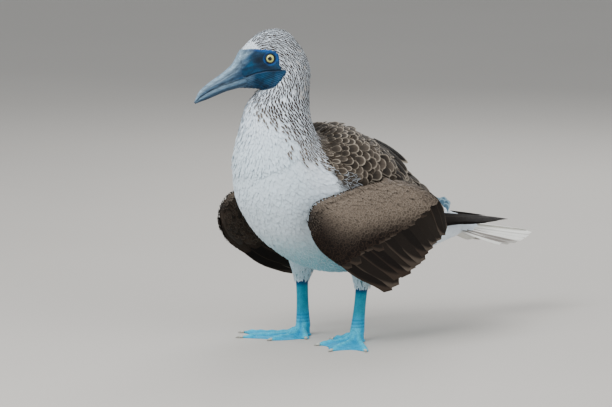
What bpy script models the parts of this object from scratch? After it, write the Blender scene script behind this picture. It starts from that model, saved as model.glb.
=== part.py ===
"""Blue-footed booby, a life-size still model standing with its wings let down.

Run with: blender --background --python part.py
The bird faces -Y, its left side is +X, and its feet stand on z = 0. Every size is in metres.
"""

import math

import bmesh
import bpy
from mathutils import Matrix, Vector

# Clearance between solids that meet
GAP = 0.0003

# Outline of the body in its plane of symmetry, from the tail root to the bill, before the head is turned:
# the back's (y, z), the belly's (y, z), and half of the breadth
BODY_STATIONS = {
    "tail_root": ((0.2650, 0.1480), (0.2600, 0.1335), 0.0130),
    "tail_base": ((0.2360, 0.1620), (0.2260, 0.1245), 0.0250),
    "rump": ((0.2020, 0.1810), (0.1840, 0.1150), 0.0385),
    "hips": ((0.1590, 0.2140), (0.1360, 0.1030), 0.0515),
    "loin": ((0.1100, 0.2535), (0.0860, 0.0950), 0.0625),
    "mid_back": ((0.0590, 0.2910), (0.0320, 0.0925), 0.0700),
    "mantle": ((0.0140, 0.3120), (-0.0240, 0.1000), 0.0735),
    "shoulders": ((-0.0150, 0.3130), (-0.0750, 0.1210), 0.0745),
    "breast": ((-0.0330, 0.3070), (-0.1235, 0.1580), 0.0722),
    "upper_breast": ((-0.0435, 0.3080), (-0.1548, 0.2050), 0.0674),
    "crop": ((-0.0490, 0.3180), (-0.1638, 0.2510), 0.0600),
    "neck_base": ((-0.0520, 0.3325), (-0.1600, 0.2920), 0.0520),
    "low_neck": ((-0.0520, 0.3485), (-0.1500, 0.3280), 0.0445),
    "mid_neck": ((-0.0515, 0.3655), (-0.1400, 0.3500), 0.0385),
    "high_neck": ((-0.0505, 0.3835), (-0.1275, 0.3650), 0.0335),
    "nape": ((-0.0525, 0.4040), (-0.1225, 0.3700), 0.0290),
    "hind_head": ((-0.0620, 0.4260), (-0.1265, 0.3712), 0.0255),
    "crown": ((-0.0850, 0.4515), (-0.1330, 0.3718), 0.0228),
    "brow": ((-0.1130, 0.4540), (-0.1400, 0.3722), 0.0193),
    "forehead": ((-0.1345, 0.4425), (-0.1455, 0.3726), 0.0162),
    "bill_base": ((-0.1510, 0.4262), (-0.1510, 0.3728), 0.0138),
}
RING_POINTS = 28

# Fullness of the shoulder feathers, which widen the upper flank between these stations
SCAPULAR_FROM, SCAPULAR_TO, SCAPULAR_FULLNESS = "hips", "breast", 0.0125
NECK_CUT, HEAD_CUT = "neck_base", "nape"
TRUNK_SLICES, NECK_SLICES, HEAD_SLICES = 2, 2, 3

# The head turns to the bird's right about the neck's upright axis
NECK_AXIS_Y = -0.093
HEAD_TURN = math.radians(29.0)
TURN_LOW, TURN_HIGH = 0.305, 0.372

# Bill, measured forward of the neck's axis: reach, culmen height, mouth height, lower edge, half breadth
BILL_STATIONS = (
    (0.0580, 0.4262, 0.3868, 0.3728, 0.0138),
    (0.0680, 0.4085, 0.3835, 0.3706, 0.0116),
    (0.0802, 0.3966, 0.3790, 0.3672, 0.0095),
    (0.0940, 0.3868, 0.3730, 0.3617, 0.0075),
    (0.1070, 0.3775, 0.3664, 0.3565, 0.0056),
    (0.1170, 0.3678, 0.3596, 0.3532, 0.0038),
    (0.1240, 0.3540, 0.3521, 0.3503, 0.0014),
)
BILL_POINTS, BILL_STEPS = 12, 9
# Share of the length that the lower half has, so that the upper one reaches past it
LOWER_BILL_SHARE = 0.955

EYE_REACH, EYE_HEIGHT, EYE_SIDE = 0.0185, 0.4155, 0.0160
EYE_RADIUS = 0.0082

# Left wing, hanging beside the trunk, as (y, z): the leading edge from wrist to elbow, the feather tips, and the
# rounded front border from the wrist to the first tip
WING_EDGE = ((-0.1214, 0.1949), (-0.1060, 0.2165), (-0.0710, 0.2245), (-0.0190, 0.2325), (0.0350, 0.2365),
             (0.0790, 0.2320))
WING_TIPS = ((0.0243, 0.0749), (0.0500, 0.0935), (0.0780, 0.1080), (0.1010, 0.1220), (0.1255, 0.1385),
             (0.1470, 0.1480))
WING_FRONT = ((-0.1214, 0.1949), (-0.1165, 0.1709), (-0.1027, 0.1504), (-0.0831, 0.1353), (-0.0618, 0.1223),
              (-0.0413, 0.1085), (-0.0178, 0.1003), (0.0050, 0.0904), (0.0243, 0.0749))
FRONT_REACH, ELBOW_BOW = 0.40, 0.0085
# The right wing is held further out, with the tips of its first feathers swept back: moves along X outward, Y and Z
RIGHT_WING_SHIFT = (0.0080, -0.0030, -0.0050)
RIGHT_TIP_SWEEP = (0.0, 0.0160, 0.0125)
WING_TOP_X = (0.0925, 0.0885, 0.0850, 0.0815, 0.0745)
WING_MID_X, WING_TIP_X, WING_REAR_X = 0.1035, 0.1045, 0.0900
ARM_THICKNESS, VANE_THICKNESS = 0.0210, 0.0020
ARM_SHARE = 0.60
# Mean depth of a wing from its leading edge to the feather tips
WING_DEPTH = 0.15
WING_FEATHERS = 10
FEATHER_NOTCH = 0.055
ARM_COLUMNS, ARM_ROWS, VANE_ROWS = 18, 7, 3

# Folded primaries, from under the wing to a point over the tail: (x, y, z), half depth, lean from upright
PRIMARY_STATIONS = (
    ((0.0880, -0.070, 0.1700), 0.0120, 0.0),
    ((0.0890, 0.000, 0.1720), 0.0165, 4.0),
    ((0.0870, 0.060, 0.1720), 0.0155, 8.0),
    ((0.0775, 0.120, 0.1710), 0.0120, 16.0),
    ((0.0630, 0.180, 0.1664), 0.0074, 30.0),
    ((0.0455, 0.242, 0.1568), 0.0078, 46.0),
    ((0.0325, 0.292, 0.1505), 0.0054, 56.0),
    ((0.0240, 0.326, 0.1455), 0.0015, 60.0),
)
PRIMARY_HALF_THICKNESS = 0.0022
PRIMARY_STEPS, PRIMARY_POINTS = 11, 10

# Tail, a closed wedge of feathers fanned from a point inside the rump
TAIL_PIVOT = (0.185, 0.1572)
TAIL_DROP = math.radians(10.2)
TAIL_LENGTH, TAIL_OUTER_LENGTH = 0.2130, 0.1200
TAIL_START = 0.0450
TAIL_FEATHERS, TAIL_SPREAD = 12, math.radians(14.5)
TAIL_THICKNESS = 0.0030
# How far the tail's sides hang below its middle, at that distance from the middle, and how the curve bends
TAIL_ARCH, TAIL_ARCH_AT, TAIL_ARCH_POWER = 0.0360, 0.045, 1.3

# Legs: ankle's (x, y) over the floor, and the top of the bare shank
ANKLE_LEFT, ANKLE_RIGHT = (0.045, 0.013), (-0.045, -0.013)
SHANK_TOP_LEFT, SHANK_TOP_RIGHT = (0.046, 0.022, 0.0800), (-0.045, -0.0155, 0.0840)
THIGH_TOP_Z = 0.135
# How far the thigh's top lies behind the shank's, and its x as a share of the shank's
HIP_BACK, HIP_SHARE = 0.006, 0.98
THIGH_POINTS, SHANK_POINTS = 14, 12

# Half breadths across and along the bird, from the top down
THIGH_WIDTHS = ((0.0240, 0.0300), (0.0230, 0.0280), (0.0195, 0.0230), (0.0155, 0.0175), (0.0120, 0.0135))
SHANK_WIDTHS = ((0.0068, 0.0098), (0.0062, 0.0093), (0.0060, 0.0090), (0.0062, 0.0094), (0.0070, 0.0103),
                (0.0082, 0.0112))

# Toes, outer to hind: heading from straight ahead towards the bird's left in degrees, and length to the claw
TOES_LEFT = ((57.0, 0.0880), (26.0, 0.0920), (-6.0, 0.0670), (-58.0, 0.0360))
TOES_RIGHT = ((-50.0, 0.0880), (-24.0, 0.0920), (6.0, 0.0670), (56.0, 0.0360))
CLAW_LENGTHS = (0.0085, 0.0100, 0.0080, 0.0065)
# Claw from root to point: share of its length, half breadth, underside and upper side over the floor
CLAW_RINGS = ((0.0, 0.0026, 0.0006, 0.0040), (0.4, 0.0022, 0.0006, 0.0036), (0.75, 0.0014, 0.0006, 0.0026),
              (1.0, 0.0004, 0.0006, 0.0012))
CLAW_POINTS = 8
TOE_HALF_WIDTH, TOE_HEIGHT, TOE_TIP_HEIGHT, WEB_THICKNESS = 0.0050, 0.0170, 0.0062, 0.0020
WEB_SAG, HEEL_RADIUS = 0.17, 0.0120
# The instep under the shank: its height, its flat top's radius, and how far along the toes it slopes down
INSTEP_HEIGHT, INSTEP_RADIUS, INSTEP_SLOPE = 0.0185, 0.0098, 0.035
# Rings of the foot, as shares of its reach, and headings round the heel, in degrees from the outermost toes
FOOT_SHARES = (0.34, 0.62, 0.86, 1.0)
HEEL_HEADINGS = (4.0, 9.0, 22.0, 50.0, 90.0)

COLOURS = {
    "white_feather": ((0.80, 0.80, 0.78), 0.75),
    "streaked_feather": ((0.55, 0.52, 0.47), 0.75),
    "brown_feather": ((0.12, 0.085, 0.06), 0.70),
    "dark_feather": ((0.035, 0.025, 0.02), 0.60),
    "tail_feather": ((0.62, 0.60, 0.56), 0.70),
    "bill_horn": ((0.27, 0.38, 0.46), 0.45),
    "eye": ((0.72, 0.72, 0.30), 0.08),
    "blue_skin": ((0.10, 0.55, 0.68), 0.50),
    "claw_horn": ((0.55, 0.58, 0.58), 0.45),
}


def clear_scene():
    for obj in list(bpy.data.objects):
        bpy.data.objects.remove(obj)


def material(name):
    """The Principled material of that name, made the first time it is asked for."""
    found = bpy.data.materials.get(name)
    if found:
        return found
    colour, roughness = COLOURS[name]
    made = bpy.data.materials.new(name)
    made.use_nodes = True
    shader = made.node_tree.nodes["Principled BSDF"]
    shader.inputs["Base Color"].default_value = (*colour, 1.0)
    shader.inputs["Roughness"].default_value = roughness
    shader.inputs["Metallic"].default_value = 0.0
    return made


def smoothstep(low, high, value):
    share = min(1.0, max(0.0, (value - low) / (high - low)))
    return share * share * (3.0 - 2.0 * share)


def spline(keys, share):
    """The point at share 0..1 of a smooth Catmull-Rom curve through keys, which are equal-length tuples."""
    spans = len(keys) - 1
    at = min(max(share, 0.0), 1.0) * spans
    i = min(int(at), spans - 1)
    t = at - i
    a, b, c, d = (keys[min(max(i + k, 0), spans)] for k in (-1, 0, 1, 2))
    return tuple(
        0.5 * (2 * q + (r - p) * t + (2 * p - 5 * q + 4 * r - s) * t * t + (3 * q - p - 3 * r + s) * t ** 3)
        for p, q, r, s in zip(a, b, c, d)
    )


def mesh_object(name, points, faces, material_name, smooth=True):
    mesh = bpy.data.meshes.new(name)
    mesh.from_pydata([tuple(p) for p in points], [], faces)
    bm = bmesh.new()
    bm.from_mesh(mesh)
    bmesh.ops.recalc_face_normals(bm, faces=bm.faces)
    bm.to_mesh(mesh)
    bm.free()
    if smooth:
        mesh.shade_smooth()
        mesh.set_sharp_from_angle(angle=math.radians(40))
    mesh.materials.append(material(material_name))
    obj = bpy.data.objects.new(name, mesh)
    bpy.context.scene.collection.objects.link(obj)
    return obj


def loft(name, rings, material_name):
    """A closed solid through rings of equally many points, with a fan over each end ring."""
    count = len(rings[0])
    points = [p for ring in rings for p in ring]
    faces = []
    for i in range(len(rings) - 1):
        low, high = i * count, (i + 1) * count
        for j in range(count):
            k = (j + 1) % count
            faces.append((low + j, low + k, high + k, high + j))
    for ring, start in ((rings[0], 0), (rings[-1], (len(rings) - 1) * count)):
        points.append(sum((Vector(p) for p in ring), Vector()) / count)
        centre = len(points) - 1
        faces += [(start + j, start + (j + 1) % count, centre) for j in range(count)]
    return mesh_object(name, points, faces, material_name)


def plate(name, front, back, material_name):
    """A closed thin solid between two grids of points of the same size, joined along their edges."""
    rows, columns = len(front), len(front[0])
    points = [p for row in front for p in row] + [p for row in back for p in row]
    far = rows * columns

    def at(i, j):
        return i * columns + j

    faces = []
    for i in range(rows - 1):
        for j in range(columns - 1):
            square = (at(i, j), at(i, j + 1), at(i + 1, j + 1), at(i + 1, j))
            faces.append(square)
            faces.append(tuple(far + v for v in reversed(square)))
    rim = [at(0, j) for j in range(columns)] + [at(i, columns - 1) for i in range(1, rows)]
    rim += [at(rows - 1, j) for j in range(columns - 2, -1, -1)] + [at(i, 0) for i in range(rows - 2, 0, -1)]
    for a, b in zip(rim, rim[1:] + rim[:1]):
        faces.append((a, b, far + b, far + a))
    return mesh_object(name, points, faces, material_name)


def subtract(obj, cutter):
    """Cuts the cutter's solid out of obj and applies the cut."""
    modifier = obj.modifiers.new("cut", "BOOLEAN")
    modifier.operation = "DIFFERENCE"
    modifier.object = cutter
    graph = bpy.context.evaluated_depsgraph_get()
    cut = bpy.data.meshes.new_from_object(obj.evaluated_get(graph))
    obj.modifiers.remove(modifier)
    obj.data = cut


def turned(point, share=None):
    """The point after the head is turned: nothing below TURN_LOW moves, and all above TURN_HIGH turns fully.

    A share from 0 to 1 turns the point by that much of the whole angle instead, whatever its height.
    """
    if share is None:
        share = smoothstep(TURN_LOW, TURN_HIGH, point[2])
    pivot = Vector((0.0, NECK_AXIS_Y, 0.0))
    return Matrix.Rotation(-HEAD_TURN * share, 3, "Z") @ (Vector(point) - pivot) + pivot


def station_index(name):
    return list(BODY_STATIONS).index(name)


def body_ring(index, grow=0.0):
    """The ring of body points at a station index, which may lie between two stations. grow widens it."""
    keys = [(*back, *belly, width) for back, belly, width in BODY_STATIONS.values()]
    back_y, back_z, belly_y, belly_z, width = spline(keys, index / (len(keys) - 1))
    back, belly = Vector((0, back_y, back_z)), Vector((0, belly_y, belly_z))
    centre, reach = (back + belly) / 2, (back - belly) / 2
    reach += reach.normalized() * grow
    first, last = station_index(SCAPULAR_FROM), station_index(SCAPULAR_TO)
    share = min(1.0, max(0.0, (index - first) / (last - first)))
    fullness = SCAPULAR_FULLNESS * math.sin(math.pi * share) ** 2
    ring = []
    for j in range(RING_POINTS):
        angle = 2 * math.pi * j / RING_POINTS
        side = math.copysign(abs(math.sin(angle)) ** 0.92, math.sin(angle)) * (width + grow)
        side += fullness * math.sin(2 * angle) * (math.cos(angle) > 0)
        ring.append(turned(centre + reach * math.cos(angle) + Vector((side, 0, 0))))
    return ring


def body_rings(first, last, slices, grow=0.0):
    low, high = station_index(first), station_index(last)
    steps = (high - low) * slices
    return [body_ring(low + (high - low) * k / steps, grow) for k in range(steps + 1)]


def step_in(rings, gap):
    """Moves the first ring towards the second by gap, measured square to the ring's own plane."""
    a, b, c = (rings[0][k] for k in (0, RING_POINTS // 3, 2 * RING_POINTS // 3))
    normal = (b - a).cross(c - a).normalized()
    moved = []
    for here, ahead in zip(rings[0], rings[1]):
        way = ahead - here
        moved.append(here + way * min(0.5, gap / max(1e-6, abs(way.dot(normal)))))
    return [moved, *rings[1:]]


def build_body():
    trunk = loft("trunk", body_rings("tail_root", NECK_CUT, TRUNK_SLICES), "white_feather")
    neck_rings = step_in(body_rings(NECK_CUT, HEAD_CUT, NECK_SLICES), GAP)
    neck = loft("neck", neck_rings, "streaked_feather")
    head_rings = step_in(body_rings(HEAD_CUT, "bill_base", HEAD_SLICES), GAP)
    head = loft("head", head_rings, "streaked_feather")
    cutter = loft("trunk_clearance", body_rings("tail_root", NECK_CUT, TRUNK_SLICES, GAP), "white_feather")
    cutter.hide_render = True
    cutter.display_type = "WIRE"
    return trunk, neck, head, cutter


def build_eyes(head):
    for side, name in ((1, "eye_left"), (-1, "eye_right")):
        centre = turned((side * EYE_SIDE, NECK_AXIS_Y - EYE_REACH, EYE_HEIGHT))
        for radius, label in ((EYE_RADIUS + GAP, name + "_socket"), (EYE_RADIUS, name)):
            bm = bmesh.new()
            bmesh.ops.create_uvsphere(bm, u_segments=14, v_segments=9, radius=radius)
            bmesh.ops.rotate(bm, matrix=Matrix.Rotation(math.pi / 2, 3, "Y"), verts=bm.verts)
            bmesh.ops.translate(bm, vec=centre, verts=bm.verts)
            mesh = bpy.data.meshes.new(label)
            bm.to_mesh(mesh)
            bm.free()
            mesh.shade_smooth()
            mesh.materials.append(material("eye"))
            ball = bpy.data.objects.new(label, mesh)
            bpy.context.scene.collection.objects.link(ball)
            if radius > EYE_RADIUS:
                ball.hide_render = True
                ball.display_type = "WIRE"
                subtract(head, ball)


def bill_rings(upper):
    """Rings of one half of the bill, from its base to its tip."""
    rings = []
    for k in range(BILL_STEPS + 1):
        share = (k / BILL_STEPS) ** 0.85 * (1.0 if upper else LOWER_BILL_SHARE)
        reach, culmen, mouth, lower, half = spline(BILL_STATIONS, share)
        reach += 4 * GAP / 3
        if upper:
            low, high = mouth + GAP / 2, culmen
        else:
            low, high = mouth - GAP / 2, lower
        ring = []
        for j in range(BILL_POINTS + 1):
            angle = math.pi * j / BILL_POINTS
            breadth = math.copysign(abs(math.cos(angle)) ** 0.8, math.cos(angle)) * half
            height = low + (high - low) * math.sin(angle) ** 0.9
            ring.append(turned((breadth, NECK_AXIS_Y - reach, height), 1.0))
        rings.append(ring)
    return rings


def build_bill():
    loft("upper_bill", bill_rings(True), "bill_horn")
    loft("lower_bill", bill_rings(False), "bill_horn")


def wing_middle(side, s, t):
    """A point of a wing's middle surface: s from wrist to elbow, t from leading edge to feather tips, x outward."""
    edge, tip = Vector(spline(WING_EDGE, s)), Vector(spline(WING_TIPS, s))
    along = (tip - edge).normalized()
    outward = Vector((along[1], -along[0]))
    bow = ELBOW_BOW * max(0.0, (s - 0.6) / 0.4) ** 2
    place = edge.lerp(tip, t) - outward * bow * math.sin(math.pi * min(1.0, t))
    rounding = Vector(spline(WING_FRONT, t)) - Vector(WING_EDGE[0]).lerp(Vector(WING_TIPS[0]), min(1.0, t))
    place += rounding * max(0.0, 1 - s / FRONT_REACH) ** 2
    top_x = spline([(x,) for x in WING_TOP_X], s)[0]
    tip_x = WING_TIP_X + (WING_REAR_X - WING_TIP_X) * smoothstep(0.4, 1.0, s)
    x = top_x + (WING_MID_X - top_x) * math.sin(math.pi / 2 * min(1.0, t / 0.45))
    x += (tip_x - WING_MID_X) * smoothstep(0.45, 1.0, t)
    middle = Vector((x, place[0], place[1]))
    if side < 0:
        middle += Vector(RIGHT_WING_SHIFT) * (1 - 0.8 * s) + Vector(RIGHT_TIP_SWEEP) * (1 - s) * t ** 8
    return middle


def wing_half_thickness(s, t):
    """Half of the wing's thickness: fleshy behind the leading edge, thin at the rim and the feather tips."""
    nose = math.sqrt(max(0.0, 1 - (1 - min(1.0, t / 0.20)) ** 2))
    wrist = math.sqrt(max(0.0, 1 - (1 - min(1.0, s / 0.14)) ** 2))
    elbow = math.sqrt(max(0.0, 1 - (1 - min(1.0, (1 - s) / 0.14)) ** 2))
    return (VANE_THICKNESS + ARM_THICKNESS * max(0.0, 1 - t) ** 1.4 * nose * wrist * elbow) / 2


def feather_end(s):
    """How far towards the tips the vane reaches at s, so that each feather has a rounded end."""
    across = abs((s * WING_FEATHERS) % 1.0 - 0.5) * 2
    return 1.0 - FEATHER_NOTCH * across * across


def wing_part(name, side, low, high, columns, rows, material_name):
    """The part of a wing between two functions of s, as one plate."""
    front, back = [], []
    for i in range(rows + 1):
        front.append([])
        back.append([])
        for j in range(columns + 1):
            s = j / columns
            t = low(s) + (high(s) - low(s)) * i / rows
            middle, half = wing_middle(side, s, t), wing_half_thickness(s, t)
            for grid, offset in ((front, half), (back, -half)):
                grid[-1].append(Vector(((middle[0] + offset) * side, middle[1], middle[2])))
    return plate(name, front, back, material_name)


def build_wing(side, label, trunk_clearance):
    arm = wing_part(f"wing_{label}_arm", side, lambda s: 0.0, lambda s: ARM_SHARE, ARM_COLUMNS, ARM_ROWS,
                    "brown_feather")
    subtract(arm, trunk_clearance)
    gap_share = 2 * GAP / WING_DEPTH
    wing_part(f"wing_{label}_secondaries", side, lambda s: ARM_SHARE + gap_share, feather_end,
              WING_FEATHERS * 4, VANE_ROWS, "dark_feather")
    rings = []
    for k in range(PRIMARY_STEPS + 1):
        share = k / PRIMARY_STEPS
        centre = Vector(spline([place for place, _, _ in PRIMARY_STATIONS], share))
        half, lean = spline([(h, a) for _, h, a in PRIMARY_STATIONS], share)
        tilt = math.radians(lean)
        up, out = Vector((-math.sin(tilt), 0, math.cos(tilt))), Vector((math.cos(tilt), 0, math.sin(tilt)))
        thick = PRIMARY_HALF_THICKNESS * (1 - 0.6 * share)
        ring = []
        for j in range(PRIMARY_POINTS):
            angle = 2 * math.pi * j / PRIMARY_POINTS
            point = centre + up * half * math.cos(angle) + out * thick * math.sin(angle)
            ring.append(Vector((point[0] * side, point[1], point[2])))
        rings.append(ring)
    primaries = loft(f"wing_{label}_primaries", rings, "dark_feather")
    subtract(primaries, trunk_clearance)


def tail_reach(angle):
    """Length of the tail along a heading, from the rounded ends of its graduated feathers."""
    pitch = 2 * TAIL_SPREAD / TAIL_FEATHERS
    longest = 0.0
    for i in range(TAIL_FEATHERS):
        heading = (i + 0.5) * pitch - TAIL_SPREAD
        length = TAIL_LENGTH + (TAIL_OUTER_LENGTH - TAIL_LENGTH) * abs(heading / TAIL_SPREAD) ** 1.2
        off = abs(angle - heading) / pitch
        if off <= 0.75:
            longest = max(longest, length * (1 - 0.16 * off * off))
    return longest


def build_tail(trunk_clearance):
    columns, rows = TAIL_FEATHERS * 4, 3
    top, bottom = [], []
    for i in range(rows + 1):
        top.append([])
        bottom.append([])
        for j in range(columns + 1):
            angle = TAIL_SPREAD * 1.04 * (2 * j / columns - 1)
            share = i / rows
            reach = TAIL_START + (tail_reach(angle) - TAIL_START) * share
            x, along = reach * math.sin(angle), reach * math.cos(angle)
            arch = TAIL_ARCH * (abs(x) / TAIL_ARCH_AT) ** TAIL_ARCH_POWER
            half = TAIL_THICKNESS / 2 * (1 - 0.6 * share)
            y = TAIL_PIVOT[0] + along * math.cos(TAIL_DROP)
            z = TAIL_PIVOT[1] - along * math.sin(TAIL_DROP) - arch
            top[-1].append(Vector((x, y, z + half)))
            bottom[-1].append(Vector((x, y, z - half)))
    tail = plate("tail", top, bottom, "tail_feather")
    subtract(tail, trunk_clearance)


def oval(centre, half_x, half_y, count):
    return [
        Vector(centre) + Vector((half_x * math.cos(a), half_y * math.sin(a), 0))
        for a in (2 * math.pi * j / count for j in range(count))
    ]


def build_leg(label, ankle, shank_top, trunk_clearance):
    """The feathered thigh and the bare shank of one leg."""
    hip = Vector((shank_top[0] * HIP_SHARE, shank_top[1] + HIP_BACK, THIGH_TOP_Z))
    knee = Vector(shank_top)
    rings = []
    for k, (half_x, half_y) in enumerate(THIGH_WIDTHS):
        centre = hip.lerp(knee + Vector((0, 0, GAP)), k / (len(THIGH_WIDTHS) - 1))
        rings.append(oval(centre, half_x, half_y, THIGH_POINTS))
    thigh = loft(f"thigh_{label}", rings, "white_feather")
    subtract(thigh, trunk_clearance)
    foot_top = Vector((ankle[0], ankle[1], INSTEP_HEIGHT + GAP))
    rings = []
    for k, (half_x, half_y) in enumerate(SHANK_WIDTHS):
        rings.append(oval(knee.lerp(foot_top, k / (len(SHANK_WIDTHS) - 1)), half_x, half_y, SHANK_POINTS))
    loft(f"shank_{label}", rings, "blue_skin")


def heading_vector(degrees):
    """A level direction, in degrees from straight ahead towards the bird's left."""
    angle = math.radians(degrees)
    return Vector((math.sin(angle), -math.cos(angle), 0))


def foot_reach(toes, degrees):
    """How far the webbed foot reaches from the ankle along a heading: toe ends, hollow web edges, round heel."""
    ordered = sorted(toes)
    if ordered[0][0] <= degrees <= ordered[-1][0]:
        for (a, low), (b, high) in zip(ordered, ordered[1:]):
            if a <= degrees <= b:
                share = (degrees - a) / (b - a)
                blend = share * share * (3 - 2 * share)
                return (low + (high - low) * blend) * (1 - WEB_SAG * math.sin(math.pi * share))
    nearest, length = min(toes, key=lambda toe: min(abs(degrees - toe[0]), 360 - abs(degrees - toe[0])))
    off = min(abs(degrees - nearest), 360 - abs(degrees - nearest))
    edge = TOE_HALF_WIDTH / max(0.05, math.sin(math.radians(min(off, 90.0))))
    return max(HEEL_RADIUS, min(length, edge))


def foot_height(toes, point, share):
    """Height of the foot's upper side at a point on the floor, at that share of its reach."""
    height = WEB_THICKNESS
    for degrees, length in toes:
        way = heading_vector(degrees)
        along = min(max(point.dot(way), 0.0), length)
        off = (point - way * along).length / TOE_HALF_WIDTH
        ridge = TOE_TIP_HEIGHT + (TOE_HEIGHT - TOE_TIP_HEIGHT) * max(0.0, 1 - along / INSTEP_SLOPE) ** 1.5
        height = max(height, WEB_THICKNESS + (ridge - WEB_THICKNESS) * math.exp(-off * off))
    return height * (1 - 0.45 * smoothstep(0.8, 1.0, share))


def foot_headings(toes):
    """Headings round the foot: close together over the toes and webs, and wider round the heel."""
    ordered = sorted(degrees for degrees, _ in toes)
    found = []
    for a, b in zip(ordered, ordered[1:]):
        found += [a, a + 3.5, a + (b - a) * 0.3, a + (b - a) * 0.5, a + (b - a) * 0.7, b - 3.5]
    found += [ordered[-1]]
    found += [ordered[-1] + off for off in HEEL_HEADINGS]
    found += [ordered[0] + 360 - off for off in reversed(HEEL_HEADINGS)]
    return [h if h <= 180 else h - 360 for h in found]


def build_foot(label, ankle, toes):
    headings = foot_headings(toes)
    place = Vector((ankle[0], ankle[1], 0))
    points, faces = [], []
    count = len(headings)
    for degrees in headings:
        points.append(place + heading_vector(degrees) * INSTEP_RADIUS + Vector((0, 0, INSTEP_HEIGHT)))
    for share in FOOT_SHARES:
        for degrees in headings:
            reach = foot_reach(toes, degrees)
            flat = heading_vector(degrees) * (INSTEP_RADIUS + (reach - INSTEP_RADIUS) * share)
            points.append(place + flat + Vector((0, 0, foot_height(toes, flat, share))))
    for degrees in headings:
        points.append(place + heading_vector(degrees) * foot_reach(toes, degrees))
    rings = len(points) // count
    for i in range(rings - 1):
        for j in range(count):
            k = (j + 1) % count
            faces.append((i * count + j, i * count + k, (i + 1) * count + k, (i + 1) * count + j))
    points.append(place + Vector((0, 0, INSTEP_HEIGHT)))
    points.append(place)
    top, sole = len(points) - 2, len(points) - 1
    for j in range(count):
        k = (j + 1) % count
        faces.append((j, k, top))
        faces.append(((rings - 1) * count + j, (rings - 1) * count + k, sole))
    mesh_object(f"foot_{label}", points, faces, "blue_skin")


def build_claws(label, ankle, toes):
    for (degrees, length), claw, toe_name in zip(toes, CLAW_LENGTHS, ("outer", "middle", "inner", "hind")):
        way = heading_vector(degrees)
        start = Vector((ankle[0], ankle[1], 0)) + way * (length + GAP)
        across = Vector((-way[1], way[0], 0))
        rings = []
        for share, half, low, high in CLAW_RINGS:
            centre = start + way * claw * share + Vector((0, 0, (low + high) / 2))
            rings.append([
                centre + across * half * math.cos(a) + Vector((0, 0, (high - low) / 2 * math.sin(a)))
                for a in (2 * math.pi * j / CLAW_POINTS for j in range(CLAW_POINTS))
            ])
        loft(f"claw_{label}_{toe_name}", rings, "claw_horn")


def solids():
    return [obj for obj in bpy.data.objects if obj.type == "MESH" and not obj.hide_render]


def recentre():
    """Puts the origin on the floor under the middle of the whole bird's box."""
    corners = [v.co for obj in solids() for v in obj.data.vertices]
    middle = [(min(c[k] for c in corners) + max(c[k] for c in corners)) / 2 for k in (0, 1)]
    shift = Matrix.Translation((-middle[0], -middle[1], 0))
    for mesh in {obj.data for obj in bpy.data.objects if obj.type == "MESH"}:
        mesh.transform(shift)


def main():
    clear_scene()
    _, _, head, trunk_clearance = build_body()
    build_eyes(head)
    build_bill()
    for side, label in ((1, "left"), (-1, "right")):
        build_wing(side, label, trunk_clearance)
    build_tail(trunk_clearance)
    build_leg("left", ANKLE_LEFT, SHANK_TOP_LEFT, trunk_clearance)
    build_leg("right", ANKLE_RIGHT, SHANK_TOP_RIGHT, trunk_clearance)
    build_foot("left", ANKLE_LEFT, TOES_LEFT)
    build_foot("right", ANKLE_RIGHT, TOES_RIGHT)
    build_claws("left", ANKLE_LEFT, TOES_LEFT)
    build_claws("right", ANKLE_RIGHT, TOES_RIGHT)
    recentre()


main()
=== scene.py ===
"""Looks of the blue-footed booby: skin, plumage, face, bill, eyes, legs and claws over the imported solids.

Every size is in metres. The bird faces -Y, its left side is +X and its feet stand on z = 0.
"""

import logging
import math
from dataclasses import dataclass, field
from enum import Enum
from typing import Callable

import bmesh
import bpy
import numpy as np
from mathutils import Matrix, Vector
from mathutils.kdtree import KDTree

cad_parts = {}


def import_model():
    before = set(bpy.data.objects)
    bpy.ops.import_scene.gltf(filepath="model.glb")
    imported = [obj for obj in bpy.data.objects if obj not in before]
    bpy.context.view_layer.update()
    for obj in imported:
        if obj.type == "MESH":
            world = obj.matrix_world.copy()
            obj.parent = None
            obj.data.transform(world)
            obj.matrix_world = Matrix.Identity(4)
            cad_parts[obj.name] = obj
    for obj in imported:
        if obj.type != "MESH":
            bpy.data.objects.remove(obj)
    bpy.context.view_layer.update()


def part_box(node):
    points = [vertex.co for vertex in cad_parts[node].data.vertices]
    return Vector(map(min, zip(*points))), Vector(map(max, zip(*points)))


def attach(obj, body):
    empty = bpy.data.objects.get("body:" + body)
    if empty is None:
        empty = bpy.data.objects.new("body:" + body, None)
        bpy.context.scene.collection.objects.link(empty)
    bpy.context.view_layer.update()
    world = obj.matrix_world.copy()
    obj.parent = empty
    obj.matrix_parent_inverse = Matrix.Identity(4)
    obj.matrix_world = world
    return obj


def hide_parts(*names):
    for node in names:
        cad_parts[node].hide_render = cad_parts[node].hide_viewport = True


log = logging.getLogger("booby")
Array = np.ndarray
Object = bpy.types.Object
Socket = bpy.types.NodeSocket
Colour = tuple[float, float, float]

# Seeds of the small irregularities of each kind of feather
SEEDS = {"secondaries": 11, "primaries": 5, "tail": 3, "scapulars": 9, "tuft": 12, "mantle": 21}


def tone(red: int, green: int, blue: int) -> Colour:
    """Linear colour of a display colour given in steps of 0 to 255."""
    return tuple(round(((c / 255 + 0.055) / 1.055) ** 2.4, 5) for c in (red, green, blue))


def smoothstep(low: float, high: float, value: Array) -> Array:
    """Smooth rise from 0 at low to 1 at high."""
    share = np.clip((np.asarray(value, float) - low) / (high - low), 0.0, 1.0)
    return share * share * (3.0 - 2.0 * share)


def unit(vectors: Array) -> Array:
    """The vectors at length one."""
    return vectors / np.maximum(1e-12, np.linalg.norm(vectors, axis=-1, keepdims=True))


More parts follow.
